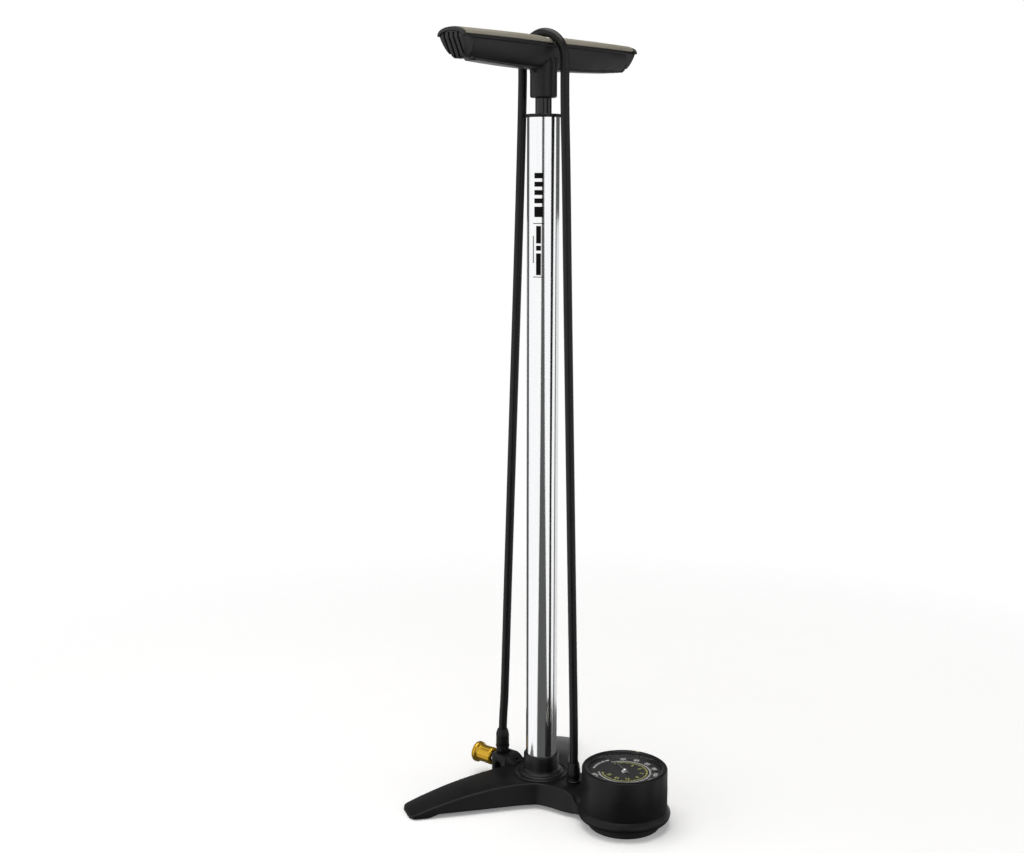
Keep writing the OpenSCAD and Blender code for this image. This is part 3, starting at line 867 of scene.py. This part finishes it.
def grip_half(x):
    """Half depth of the handle: a waist at the hub and at the ends, and a full grip between."""
    return WAIST_HALF + GRIP_SWELL * math.sin(math.pi * min(1, abs(x) / HANDLE_HALF)) ** 0.8


def keel_at(x):
    return KEEL_Z + 3.4 * (x / 110) ** 2


def crown_at(x):
    """Height of the cover's crown, with a saddle where the hose lies."""
    return CROWN_Z - 0.7 * (x / HANDLE_HALF) ** 2 - SADDLE * math.exp(-((x / 10) ** 2))


def flank(x, share):
    """Half depth of the handle's body at a share of its height, from keel to parting line."""
    half = grip_half(x)
    return KEEL_HALF + (half - KEEL_HALF) * math.sin(math.pi / 2 * share**0.72)


BODY_TOP = PART_Z - 1.7
RAIL_TOP = PART_Z - 0.4
COVER_LOW = PART_Z + 0.9
KEEL_DEPTH = 1.6


def mirrored(x, right):
    """Ring at x from its right half, a list of (y, z) that the left half repeats."""
    left = [(-y, z) for y, z in reversed(right)]
    return [(x, y, z) for y, z in right + left]


def body_ring(x):
    """Outline across the handle's body at x, from one top edge round the keel to the other."""
    keel = keel_at(x) + KEEL_DEPTH
    return mirrored(x, [(flank(x, k / 16), keel + (BODY_TOP - keel) * k / 16) for k in range(17)])


def rail_ring(x):
    """Outline across the lip along the body's top edge, and the tongue that carries the cover."""
    half = grip_half(x)
    return mirrored(x, [
        (half - 0.5, BODY_TOP - 0.8), (half + 0.05, BODY_TOP - 0.1), (half + 0.35, BODY_TOP + 0.2),
        (half + 0.4, BODY_TOP + 0.6), (half + 0.2, RAIL_TOP - 0.15), (half - 0.2, RAIL_TOP),
        (half - 0.9, RAIL_TOP), (half - 0.9, COVER_LOW + 0.4),
    ])


def make_grip():
    """Body of the handle with its hub, blended together, and the sharp rail along the top."""
    body = loft("grip_body", [body_ring(x) for x in spaced(-111, 111, 64)], BARREL_AXIS)
    outline = [(7.6, HUB_LOW), (11.6, HUB_LOW), (12.1, HUB_LOW + 0.2), (12.4, HUB_LOW + 0.9), (12.4, 694)]
    outline += [(12.8, 698), (13, 701), (12.6, 706), (11, 711), (7.6, 712)]
    hub = lathe("hub", outline, BARREL_AXIS, 96)
    wedges = []
    for side in (-1, 1):
        wedge = [(side * x, z) for x, z in ((11, 698.6), (16.2, 698.6), (16.2, 697), (11, 692.8))]
        wedges.append(loft("wedge", [[(x, y, z) for x, z in wedge] for y in (-2, 2)], BARREL_AXIS))
    grip = join("grip", [body, hub, *wedges])
    remesh(grip, voxel=0.7, passes=16)
    rail = loft("rail", [rail_ring(x) for x in spaced(-122.5, 122.5, 80)], BARREL_AXIS)
    place(grip, "rod", GRIP_PLASTIC, "black_plastic", "handle_body")
    place(rail, "rod", GRIP_PLASTIC, "black_plastic")


def cover_ring(x):
    half = grip_half(x) + 0.35
    rise = crown_at(x) - COVER_LOW
    ring = []
    for k in range(33):
        a = math.pi * k / 32
        ring.append((x, half * math.cos(a), COVER_LOW + 0.4 + (rise - 0.4) * math.sin(a) ** 0.72))
    ring.append((x, -half + 0.4, COVER_LOW))
    ring.append((x, half - 0.4, COVER_LOW))
    return ring


def make_cover():
    cover = loft("grip_cover", [cover_ring(x) for x in spaced(-121.6, 121.6, 84)], BARREL_AXIS)
    place(cover, "rod", COVER_METAL, "grip_cover", "handle_cover")


# ---- Ends of the handle: a sloping ribbed face under a crescent lip ----

END_FACE = 124
END_LEAN = 0.5
ARCH_HALF = 13.2
ARCH_FOOT = 718.2
ARCH_RISE = 4.8
SLOT_HALF = 1.1
SLOT_DEPTH = 2.4
SLOT_PLACES = (-7.8, -2.6, 2.6, 7.8)


def face_at(z):
    """How far out the end's ribbed face lies at a height."""
    return END_FACE - END_LEAN * max(0, ARCH_FOOT - z)


def end_half(z, keel):
    """Half depth of the end face at a height: the body's flanks, then the arch under the lip."""
    if z > ARCH_FOOT:
        return ARCH_HALF * math.sqrt(max(0, 1 - ((z - ARCH_FOOT) / ARCH_RISE) ** 2))
    return flank(112, (z - keel) / (ARCH_FOOT - keel)) - 0.1


def slab(name, back, front, centre):
    """Closed solid between two grids of points, each a list of rows."""
    rows = len(back)
    columns = len(back[0])
    verts = [p for row in back for p in row] + [p for row in front for p in row]
    shift = rows * columns
    faces = []
    for i in range(rows - 1):
        for j in range(columns - 1):
            a = i * columns + j
            quad = (a, a + 1, a + columns + 1, a + columns)
            faces.append(quad)
            faces.append(tuple(shift + v for v in reversed(quad)))
    rim = list(range(columns))
    rim += [i * columns + columns - 1 for i in range(1, rows)]
    rim += [(rows - 1) * columns + j for j in reversed(range(columns - 1))]
    rim += [i * columns for i in reversed(range(1, rows - 1))]
    for a, b in zip(rim, rim[1:] + rim[:1]):
        faces.append((a, b, shift + b, shift + a))
    return new_object(name, verts, faces, centre)


def end_core(side):
    """Body of the end piece, from inside the grip out to the sloping face."""
    keel = keel_at(112) + KEEL_DEPTH
    heights = spaced(keel, ARCH_FOOT, 12) + spaced(ARCH_FOOT + 0.6, ARCH_FOOT + ARCH_RISE - 0.2, 6)
    back, front = [], []
    for z in heights:
        half = end_half(z, keel)
        across = [half * k / 10 for k in range(-10, 11)]
        back.append([(side * 110, y, z) for y in across])
        front.append([(side * (face_at(z) - 0.5 * (y / half) ** 8), y, z) for y in across])
    return slab("core", back, front, BARREL_AXIS)


def end_lip(side):
    """Crescent plate that closes the cover's end."""
    outer, inner = [], []
    for k in range(25):
        a = math.pi * k / 24
        outer.append((15.25 * math.cos(a), ARCH_FOOT + 0.3 + 7.7 * math.sin(a) ** 0.8))
        inner.append((ARCH_HALF * math.cos(a), ARCH_FOOT + ARCH_RISE * math.sin(a)))
    outline = outer + inner[::-1]
    rings = [[(side * x, y, z) for y, z in outline] for x in (121.2, 125)]
    lip = loft("lip", rings, BARREL_AXIS)
    bevel(lip, 0.45, 3, 50)
    return lip


def end_keel(side):
    """Short raised pad at the end of the keel, cut off in line with the end face."""
    low = keel_at(110) + 0.5
    outline = [
        (104.4, low + 3), (105.2, low), (face_at(low) - 1.2, low), (face_at(low) + 0.6, low + 1.4),
        (face_at(low + 3), low + 3),
    ]
    rings = [[(side * x, y, z) for x, z in outline] for y in (-6, 6)]
    pad = loft("pad", rings, BARREL_AXIS)
    bevel(pad, 0.5, 3, 30)
    return pad


def slot_tool(side, y):
    """Upright blade that cuts one slot into the end's face."""
    low = 696
    high = ARCH_FOOT + 3.6
    outline = [(face_at(z) - SLOT_DEPTH, z) for z in (high, ARCH_FOOT, low)]
    outline += [(130, low), (130, high)]
    rings = [[(side * x, y + off, z) for x, z in outline] for off in (-SLOT_HALF, SLOT_HALF)]
    return loft("slot_tool", rings, BARREL_AXIS)


def make_end(side, name, node):
    core = end_core(side)
    pad = end_keel(side)
    for part in (core, pad):
        cut(part, [slot_tool(side, y) for y in SLOT_PLACES])
    end = join(name, [core, pad, end_lip(side)])
    bevel(end, 0.25, 2, 50)
    place(end, "rod", END_PLASTIC, "black_plastic", node)


def make_keel():
    """Raised strip along the underside, stepped at its ends and split by the hub."""
    half = 6.7
    parts = []
    for side in (-1, 1):
        rings = []
        for x in spaced(11.5, 103.6, 40):
            low = keel_at(x) + 2.2 * ease((x - 99) / 4)
            ring = [
                (-half, low + 2.4), (-half, low + 0.7), (-half + 0.2, low + 0.2), (-half + 0.7, low),
                (half - 0.7, low), (half - 0.2, low + 0.2), (half, low + 0.7), (half, low + 2.4),
            ]
            rings.append([(side * x, y, z) for y, z in ring])
        parts.append(loft(f"keel_{side}", rings, BARREL_AXIS))
    keel = join("grip_keel", parts)
    # The keel's material is lighter than the grip's, a painted highlight on the strip
    place(keel, "rod", KEEL_PLASTIC_PAINTED_HIGHLIGHT, "black_plastic")


def make_rod():
    outline = [(6, 36), (7.5, 36), (7.5, 700), (6, 700)]
    rod = lathe("rod", outline, BARREL_AXIS, 96, radius=0.2)
    place(rod, "rod", ROD_COAT, "black_cast", "piston_rod")


# ---- Gauge ----

# Angles in degrees, anticlockwise from +X
NEEDLE_ANGLE = 62
MARKER_ANGLE = 16
OUTER_ZERO = 64
OUTER_STEP = 1.27
OUTER_LAST = 230
INNER_ZERO = 63
INNER_STEP = 17.95
INNER_LAST = 16
WORD_FROM = 73.5
PRINT_T = 0.08


def make_cup():
    outline = [
        (6.5, 15.1), (39.6, 15.1), (39.75, 19), (40.25, 21), (40.3, 36), (40.05, GAUGE_TOP - 1.2),
        (39.6, GAUGE_TOP - 0.3), (39, GAUGE_TOP), (37.4, GAUGE_TOP), (37.35, 18), (6.5, 18),
    ]
    cup = lathe("gauge_cup", outline, GAUGE_AXIS, 160)
    place(cup, "base", BLACK_CAST, "black_plastic", "gauge_housing")


def make_bezel():
    """Turning ring that overlaps the cup's rim and slopes down to the lens."""
    outline = [
        (34.3, 52.2), (37, 52.2), (37.1, GAUGE_TOP - 0.3), (37.5, GAUGE_TOP + 0.1), (38.3, GAUGE_TOP + 0.4),
        (38.2, GAUGE_TOP + 0.6), (36.2, GAUGE_TOP + 0.6), (35, GAUGE_TOP - 0.1), (34.3, GAUGE_TOP - 1.5),
    ]
    bezel = lathe("bezel", outline, GAUGE_AXIS, 160)
    place(bezel, "bezel", BLACK_PLASTIC, "black_plastic", "gauge_bezel")


def make_lens():
    outline = [(0, 54.9), (34.15, 54.9), (34.15, 55.9), (33.6, 56.1), (0, 56.1)]
    lens = lathe("lens", outline, GAUGE_AXIS, 128)
    place(lens, "bezel", LENS, "clear_lens", "gauge_lens")
    lens.visible_shadow = False


def arc_band(name, inner, outer, start, end, steps=120):
    """A flat printed arc between two radii and two angles."""
    low = DIAL_Z
    high = DIAL_Z + PRINT_T
    rings = []
    for a in spaced(start, end, steps):
        corners = [(inner, low), (outer, low), (outer, high), (inner, high)]
        rings.append([polar(r, math.radians(a), z) for r, z in corners])
    return loft(name, rings, GAUGE_AXIS)


def tick(angle, inner, outer, width):
    """A short printed line that points at the dial's centre."""
    a = math.radians(angle)
    along = Vector((math.cos(a), math.sin(a), 0))
    across = Vector((-math.sin(a), math.cos(a), 0)) * width / 2
    base = [along * inner - across, along * outer - across, along * outer + across, along * inner + across]
    low = Vector((0, 0, DIAL_Z))
    high = Vector((0, 0, DIAL_Z + PRINT_T))
    return loft("tick", [[p + low for p in base], [p + high for p in base]], GAUGE_AXIS)


def number(text, angle, radius, size):
    """A number on the dial, with its top outwards."""
    curve = bpy.data.curves.new("number", "FONT")
    curve.body = text
    curve.size = size * MM
    curve.extrude = PRINT_T / 2 * MM
    curve.align_x = "CENTER"
    curve.align_y = "CENTER"
    curve.offset = 0.18 * MM
    curve.resolution_u = 3
    source = link_data("number", curve)
    mesh = evaluated_mesh(source)
    bpy.data.objects.remove(source)
    a = math.radians(angle)
    at = Vector((radius * math.cos(a), radius * math.sin(a) + GAUGE_Y, DIAL_Z + PRINT_T / 2)) * MM
    mesh.transform(Matrix.Translation(at) @ Matrix.Rotation(a - math.pi / 2, 4, "Z"))
    return link_data("number", mesh)


def make_outer_scale():
    """White scale with its numbers, and plain bars in place of the printed words."""
    last = OUTER_ZERO - OUTER_STEP * (OUTER_LAST + 2)
    print_parts = [arc_band("band", 23.3, 24.3, OUTER_ZERO, last)]
    for value in range(0, OUTER_LAST + 1, 5):
        angle = OUTER_ZERO - OUTER_STEP * value
        long = value % 20 == 0
        print_parts.append(tick(angle, 24, 26.4 if long else 25.6, 0.7 if long else 0.4))
        if long and value > 0:
            print_parts.append(number(str(value), angle, 29, 5.6))
    for k in range(5):
        start = WORD_FROM + 10 * k
        print_parts.append(arc_band(f"word_{k}", 28.6, 30.6, start, start - 7.5, 12))
    scale = join("scale_outer", print_parts)
    place(scale, "base", PRINT_WHITE, "marker_paint")


def make_inner_scale():
    """Lime scale with a tick at each half, and a number at every other whole step."""
    last = INNER_ZERO - INNER_STEP * (INNER_LAST + 0.3)
    print_parts = [arc_band("band", 20.6, 21.5, INNER_ZERO, last)]
    for half in range(2 * INNER_LAST + 1):
        angle = INNER_ZERO - INNER_STEP * half / 2
        long = half % 2 == 0
        print_parts.append(tick(angle, 19 if long else 20, 21.2, 0.45 if long else 0.28))
        if half % 4 == 2 and half > 2:
            print_parts.append(number(str(half // 2), angle, 15.8, 4.6))
    scale = join("scale_inner", print_parts)
    place(scale, "base", PRINT_LIME, "marker_paint")


def make_marker():
    """Small triangle that lies on the slope of the bezel and points in at the scale."""
    angle = math.radians(MARKER_ANGLE)
    turn = Matrix.Rotation(angle, 3, "Z")
    flat = [(34.5, 0, GAUGE_TOP - 0.9), (36.9, -1.8, GAUGE_TOP + 0.7), (36.9, 1.8, GAUGE_TOP + 0.7)]
    rings = [[turn @ Vector((x, y, z + lift)) for x, y, z in flat] for lift in (-0.2, 0.15)]
    marker = loft("marker", rings, GAUGE_AXIS)
    place(marker, "bezel", PRINT_LIME, "marker_paint", "bezel_marker")


def make_needle():
    outline = [(0, 51.4), (3.7, 51.4), (3.5, 52.4), (2.3, 53.8), (1.4, 54.5), (0, 54.7)]
    hub = lathe("needle_hub", outline, GAUGE_AXIS, 64)
    turn = Matrix.Rotation(math.radians(NEEDLE_ANGLE), 3, "Z")
    blade = []
    for s, half in ((-8, 1.2), (-2, 1.4), (6, 1.2), (19.5, 0.4)):
        ring = [(s, -half, 52.6), (s, half, 52.6), (s, half, 53.0), (s, 0, 53.3), (s, -half, 53.0)]
        blade.append([turn @ Vector(p) for p in ring])
    arm = loft("needle_arm", blade, GAUGE_AXIS)
    needle = join("needle", [hub, arm])
    place(needle, "needle", NEEDLE, "movement_metal", "gauge_needle")


# ---- Fittings, chuck and dock ----


def faceted(name, rings, centre, sides, flat):
    """A turned body with its outline partly flattened into sides: rings are (radius, height, share)."""
    out = []
    steps = sides * 12
    for r, z, share in rings:
        ring = []
        for a in circle(steps):
            off = (a % (2 * math.pi / sides)) - math.pi / sides
            squeeze = 1 - share * flat * (1 - abs(off) / (math.pi / sides)) ** 1.5
            ring.append(polar(r * squeeze, a, z))
        out.append(ring)
    return loft(name, out, centre)


def make_base_fitting():
    at = (0, INLET_Y, 0)
    outline = [
        (1.5, 20), (6, 20), (6, DECK_Z), (6.9, DECK_Z), (7, DECK_Z + 1.8), (6.2, DECK_Z + 2.4),
        (6.2, 29.4), (1.5, 29.4),
    ]
    foot = lathe("inlet", outline, at, 64, radius=0.25)
    place(foot, "base", BLACK_PLASTIC, "black_plastic", "hose_inlet")
    rings = [
        (5.2, 29.4, 0), (6.3, 29.5, 1), (6.6, 30.1, 1), (6.6, 34.6, 1), (6.4, 35.2, 0.6), (6.0, 35.5, 0),
        (6.0, 35.9, 0), (6.5, 36.2, 0.6), (6.3, 37.4, 1), (5.3, 43, 1), (5.0, 43.6, 0.4), (4.7, 44, 0),
        (4.15, 44, 0),
    ]
    nut = faceted("nut_base", rings, at, 8, 0.05)
    place(nut, "base", BLACK_PLASTIC, "black_plastic", "hose_nut_base")


def make_chuck_fitting():
    at = (0, CHUCK_Y, 0)
    rings = [
        (5.0, 30.5, 0), (6.2, 30.6, 1), (6.4, 31.2, 1), (6.4, 35.6, 1), (6.2, 36.2, 0.5), (6.8, 36.5, 0),
        (6.95, 37, 0), (6.8, 37.9, 0), (6.0, 38.3, 0), (6.2, 38.6, 0), (6.6, 39, 1), (6.6, 45, 1),
        (6.4, 45.7, 0.6), (6.6, 46.2, 0.8), (6.6, 49, 1), (6.2, 51.4, 1), (5.4, 53.8, 0.8),
        (4.9, 54.7, 0.4), (4.2, 55, 0),
    ]
    nut = faceted("nut_chuck", rings, at, 12, 0.06)
    place(nut, "base", BLACK_PLASTIC, "black_plastic", "hose_nut_chuck")


# Turns a piece that is drawn upright so that its top faces the rear
FACE_BACK = Matrix.Rotation(-math.pi / 2, 3, "X")
SLEEVE_GROOVES = 6
GROOVE_DEPTH = 0.75


def make_sleeve():
    """Gold sleeve with grooves along it: its outline is (radius, height, share of the groove)."""
    outline = [
        (5.6, 11, 0), (7.4, 11.0, 0), (8.3, 11.7, 0), (8.75, 12.8, 0.5), (8.75, 14, 1), (8.65, 17, 1),
        (8.5, 21, 1), (8.5, 24, 1), (8.6, 26.6, 1), (8.7, 27.2, 0.2), (8.3, 27.6, 0), (8.3, 28.1, 0),
        (8.9, 28.6, 0), (9.7, 29.4, 0), (10.2, 30.1, 0), (10.3, 30.8, 0), (10.0, 31.2, 0), (10.0, 31.5, 0),
        (10.3, 31.9, 0), (10.3, 32.7, 0), (9.9, 33.3, 0), (9.2, 33.4, 0), (7.4, 33.4, 0), (7.05, 33, 0),
        (7.05, 26, 0), (5.6, 26, 0),
    ]
    rings = []
    for a in circle(192):
        groove = max(0, math.cos(SLEEVE_GROOVES * a)) ** 18
        ring = []
        for r, z, share in outline:
            grooved = r - GROOVE_DEPTH * share * groove
            ring.append(FACE_BACK @ Vector(polar(grooved, a, z)))
        rings.append(ring)
    sleeve = loft("sleeve", rings, (0, CHUCK_Y, CHUCK_Z), closed=True)
    place(sleeve, "sleeve", GOLD, "gold_sleeve", "chuck_sleeve")


def make_stem():
    outline = [(1.5, 9), (6, 9), (6, 9.9), (4.5, 10), (4.5, 25), (1.5, 25)]
    stem = lathe("stem", outline, (0, CHUCK_Y, CHUCK_Z), 64, FACE_BACK, radius=0.15)
    place(stem, "base", STEEL, "steel", "chuck_stem")


def make_head():
    """Chuck's body: a turned barrel towards the rear, and the neck that carries the hose's nut."""
    at = (0, CHUCK_Y, CHUCK_Z)
    outline = [(1.5, -9), (5.4, -9), (6.6, -7.8), (6.6, 5.6), (6.1, 6.4), (5.2, 6.8), (5.2, 9), (1.5, 9)]
    body = lathe("head_body", outline, at, 64, FACE_BACK, radius=0.3)
    neck = lathe("head_neck", [(1.5, 1), (6.4, 1), (6.4, 8.3), (1.5, 8.3)], at, 64, radius=0.3)
    head = join("head", [body, neck])
    place(head, "base", BLACK_PLASTIC, "black_plastic", "chuck_body")


SPRING_TURNS = 4
SPRING_STEPS = 24
SPRING_WIRE = 0.35


def make_valve_spring():
    """Wire coil under the foot valve's disc, which presses it down as it opens."""
    foot = low_of("valve_spring")
    head = high_of("valve_spring")
    radius = (head.x - foot.x) / 2 - SPRING_WIRE
    low = foot.z + SPRING_WIRE
    rise = head.z - SPRING_WIRE - low
    rings = []
    for k in range(SPRING_TURNS * SPRING_STEPS + 1):
        turn = 2 * math.pi * k / SPRING_STEPS
        z = low + rise * k / SPRING_TURNS / SPRING_STEPS
        ring = []
        for a in circle(8):
            r = radius + SPRING_WIRE * math.cos(a)
            ring.append(polar(r, turn, z + SPRING_WIRE * math.sin(a)))
        rings.append(ring)
    spring = loft("valve_coil", rings, BARREL_AXIS)
    place(spring, "base", STEEL, "steel", "valve_spring")
    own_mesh(spring)


# ---- Studio ----

# In metres: the floor is solid out to FLOOR_CLEAR and gone at FLOOR_FADE
FLOOR_CLEAR = 0.3
FLOOR_FADE = 0.95
FLOOR_LIFT = 0.17
PANEL_DISTANCE = 2.2
TOP_PANEL_Z = 2.3
# Each side panel: its strength, then rows of (height, first angle, last angle), in metres and degrees
SIDE_PANELS = {
    "softbox_left": (1.05, [
        (-1.2, 104, 180), (-0.73, 104, 188), (-0.07, 104, 204), (0.6, 103, 210), (2.2, 103, 210),
    ]),
    "softbox_right": (1.05, [(-0.75, 262, 277), (-0.07, 237, 279), (0.6, 226, 280), (2.2, 226, 280)]),
    "softbox_far_right": (1.05, [(-0.75, 296, 318), (0.6, 287, 321), (2.2, 287, 321)]),
    "softbox_back": (0.8, [(-0.75, 331, 436), (0.5, 331, 436)]),
}


def make_floor():
    """Pale floor that fades out into the background, so that no horizon shows."""
    floor = link_data("floor", bpy.data.meshes.new("floor"))
    shell = bmesh.new()
    bmesh.ops.create_circle(shell, cap_ends=True, radius=FLOOR_FADE, segments=96)
    shell.to_mesh(floor.data)
    shell.free()
    material = surface(
        "floor_paint", grey(0.9), grey(0.92), (0.8, 0.9),
        grain=60, depth=0.01, strength=0.02, patches=3, level=0,
    )
    tree = material.node_tree
    shader = tree.nodes["Principled BSDF"]
    coordinates = tree.nodes.new("ShaderNodeTexCoord")
    distance = tree.nodes.new("ShaderNodeVectorMath")
    distance.operation = "LENGTH"
    tree.links.new(coordinates.outputs["Object"], distance.inputs[0])
    fade = spread(tree, distance.outputs["Value"], 1, 0, FLOOR_CLEAR, FLOOR_FADE)
    tree.links.new(fade, shader.inputs["Alpha"])
    shader.inputs["Emission Color"].default_value = (1, 1, 1, 1)
    shader.inputs["Emission Strength"].default_value = FLOOR_LIFT
    floor.data.materials.append(material)
    floor.visible_glossy = False
    floor.visible_diffuse = False
    floor.visible_shadow = False


def softbox(name, strength, rows):
    """A curved white panel round the object."""
    steps = 12
    verts = []
    for z, first, last in rows:
        verts += [polar(PANEL_DISTANCE, math.radians(a), z) for a in spaced(first, last, steps)]
    faces = []
    for i in range(len(rows) - 1):
        for k in range(steps):
            a = i * (steps + 1) + k
            faces.append((a, a + 1, a + steps + 2, a + steps + 1))
    light_panel(name, verts, faces, strength)


def light_panel(name, verts, faces, strength, colour=(1, 1, 1)):
    """A glowing sheet that the camera doesn't see."""
    mesh = bpy.data.meshes.new(name)
    mesh.from_pydata(verts, [], faces)
    panel = link_data(name, mesh)
    material = bpy.data.materials.new(name)
    material.use_nodes = True
    tree = material.node_tree
    tree.nodes.clear()
    glow = tree.nodes.new("ShaderNodeEmission")
    glow.inputs["Color"].default_value = (*colour, 1)
    glow.inputs["Strength"].default_value = strength
    out = tree.nodes.new("ShaderNodeOutputMaterial")
    tree.links.new(glow.outputs["Emission"], out.inputs["Surface"])
    mesh.materials.append(material)
    panel.visible_camera = False


def make_light():
    """White background for the camera, dim surroundings for the rest, and soft panels all round."""
    world = bpy.data.worlds.new("studio")
    bpy.context.scene.world = world
    world.use_nodes = True
    tree = world.node_tree
    backdrop = tree.nodes["Background"]
    backdrop.inputs["Color"].default_value = (1, 1, 1, 1)
    dim = tree.nodes.new("ShaderNodeBackground")
    dim.inputs["Color"].default_value = (1, 1, 1, 1)
    dim.inputs["Strength"].default_value = 0.1
    path = tree.nodes.new("ShaderNodeLightPath")
    mix = tree.nodes.new("ShaderNodeMixShader")
    tree.links.new(path.outputs["Is Camera Ray"], mix.inputs["Fac"])
    tree.links.new(dim.outputs["Background"], mix.inputs[1])
    tree.links.new(backdrop.outputs["Background"], mix.inputs[2])
    tree.links.new(mix.outputs["Shader"], tree.nodes["World Output"].inputs["Surface"])
    for name, (strength, rows) in SIDE_PANELS.items():
        softbox(name, strength, rows)
    corners = [(x, y, TOP_PANEL_Z) for x, y in ((-1.2, -0.8), (0.8, -0.8), (0.8, 1.2), (-1.2, 1.2))]
    light_panel("softbox_top", corners, [(0, 1, 2, 3)], 3.2, (1, 0.99, 0.97))
    bpy.context.scene.view_settings.view_transform = "Standard"


make_base()
make_collar()
make_barrel()
make_print()
make_cap()
make_grip()
make_cover()
make_end(-1, "grip_end_left", "handle_cap_left")
make_end(1, "grip_end_right", "handle_cap_right")
make_keel()
make_rod()
make_cup()
make_bezel()
make_lens()
make_outer_scale()
make_inner_scale()
make_marker()
make_needle()
make_base_fitting()
make_chuck_fitting()
make_sleeve()
make_stem()
make_head()
make_valve_spring()
refine("chuck_dock", 0.7)
refine("dock_screw", 0.3, BLACK_STEEL)
make_floor()
make_light()
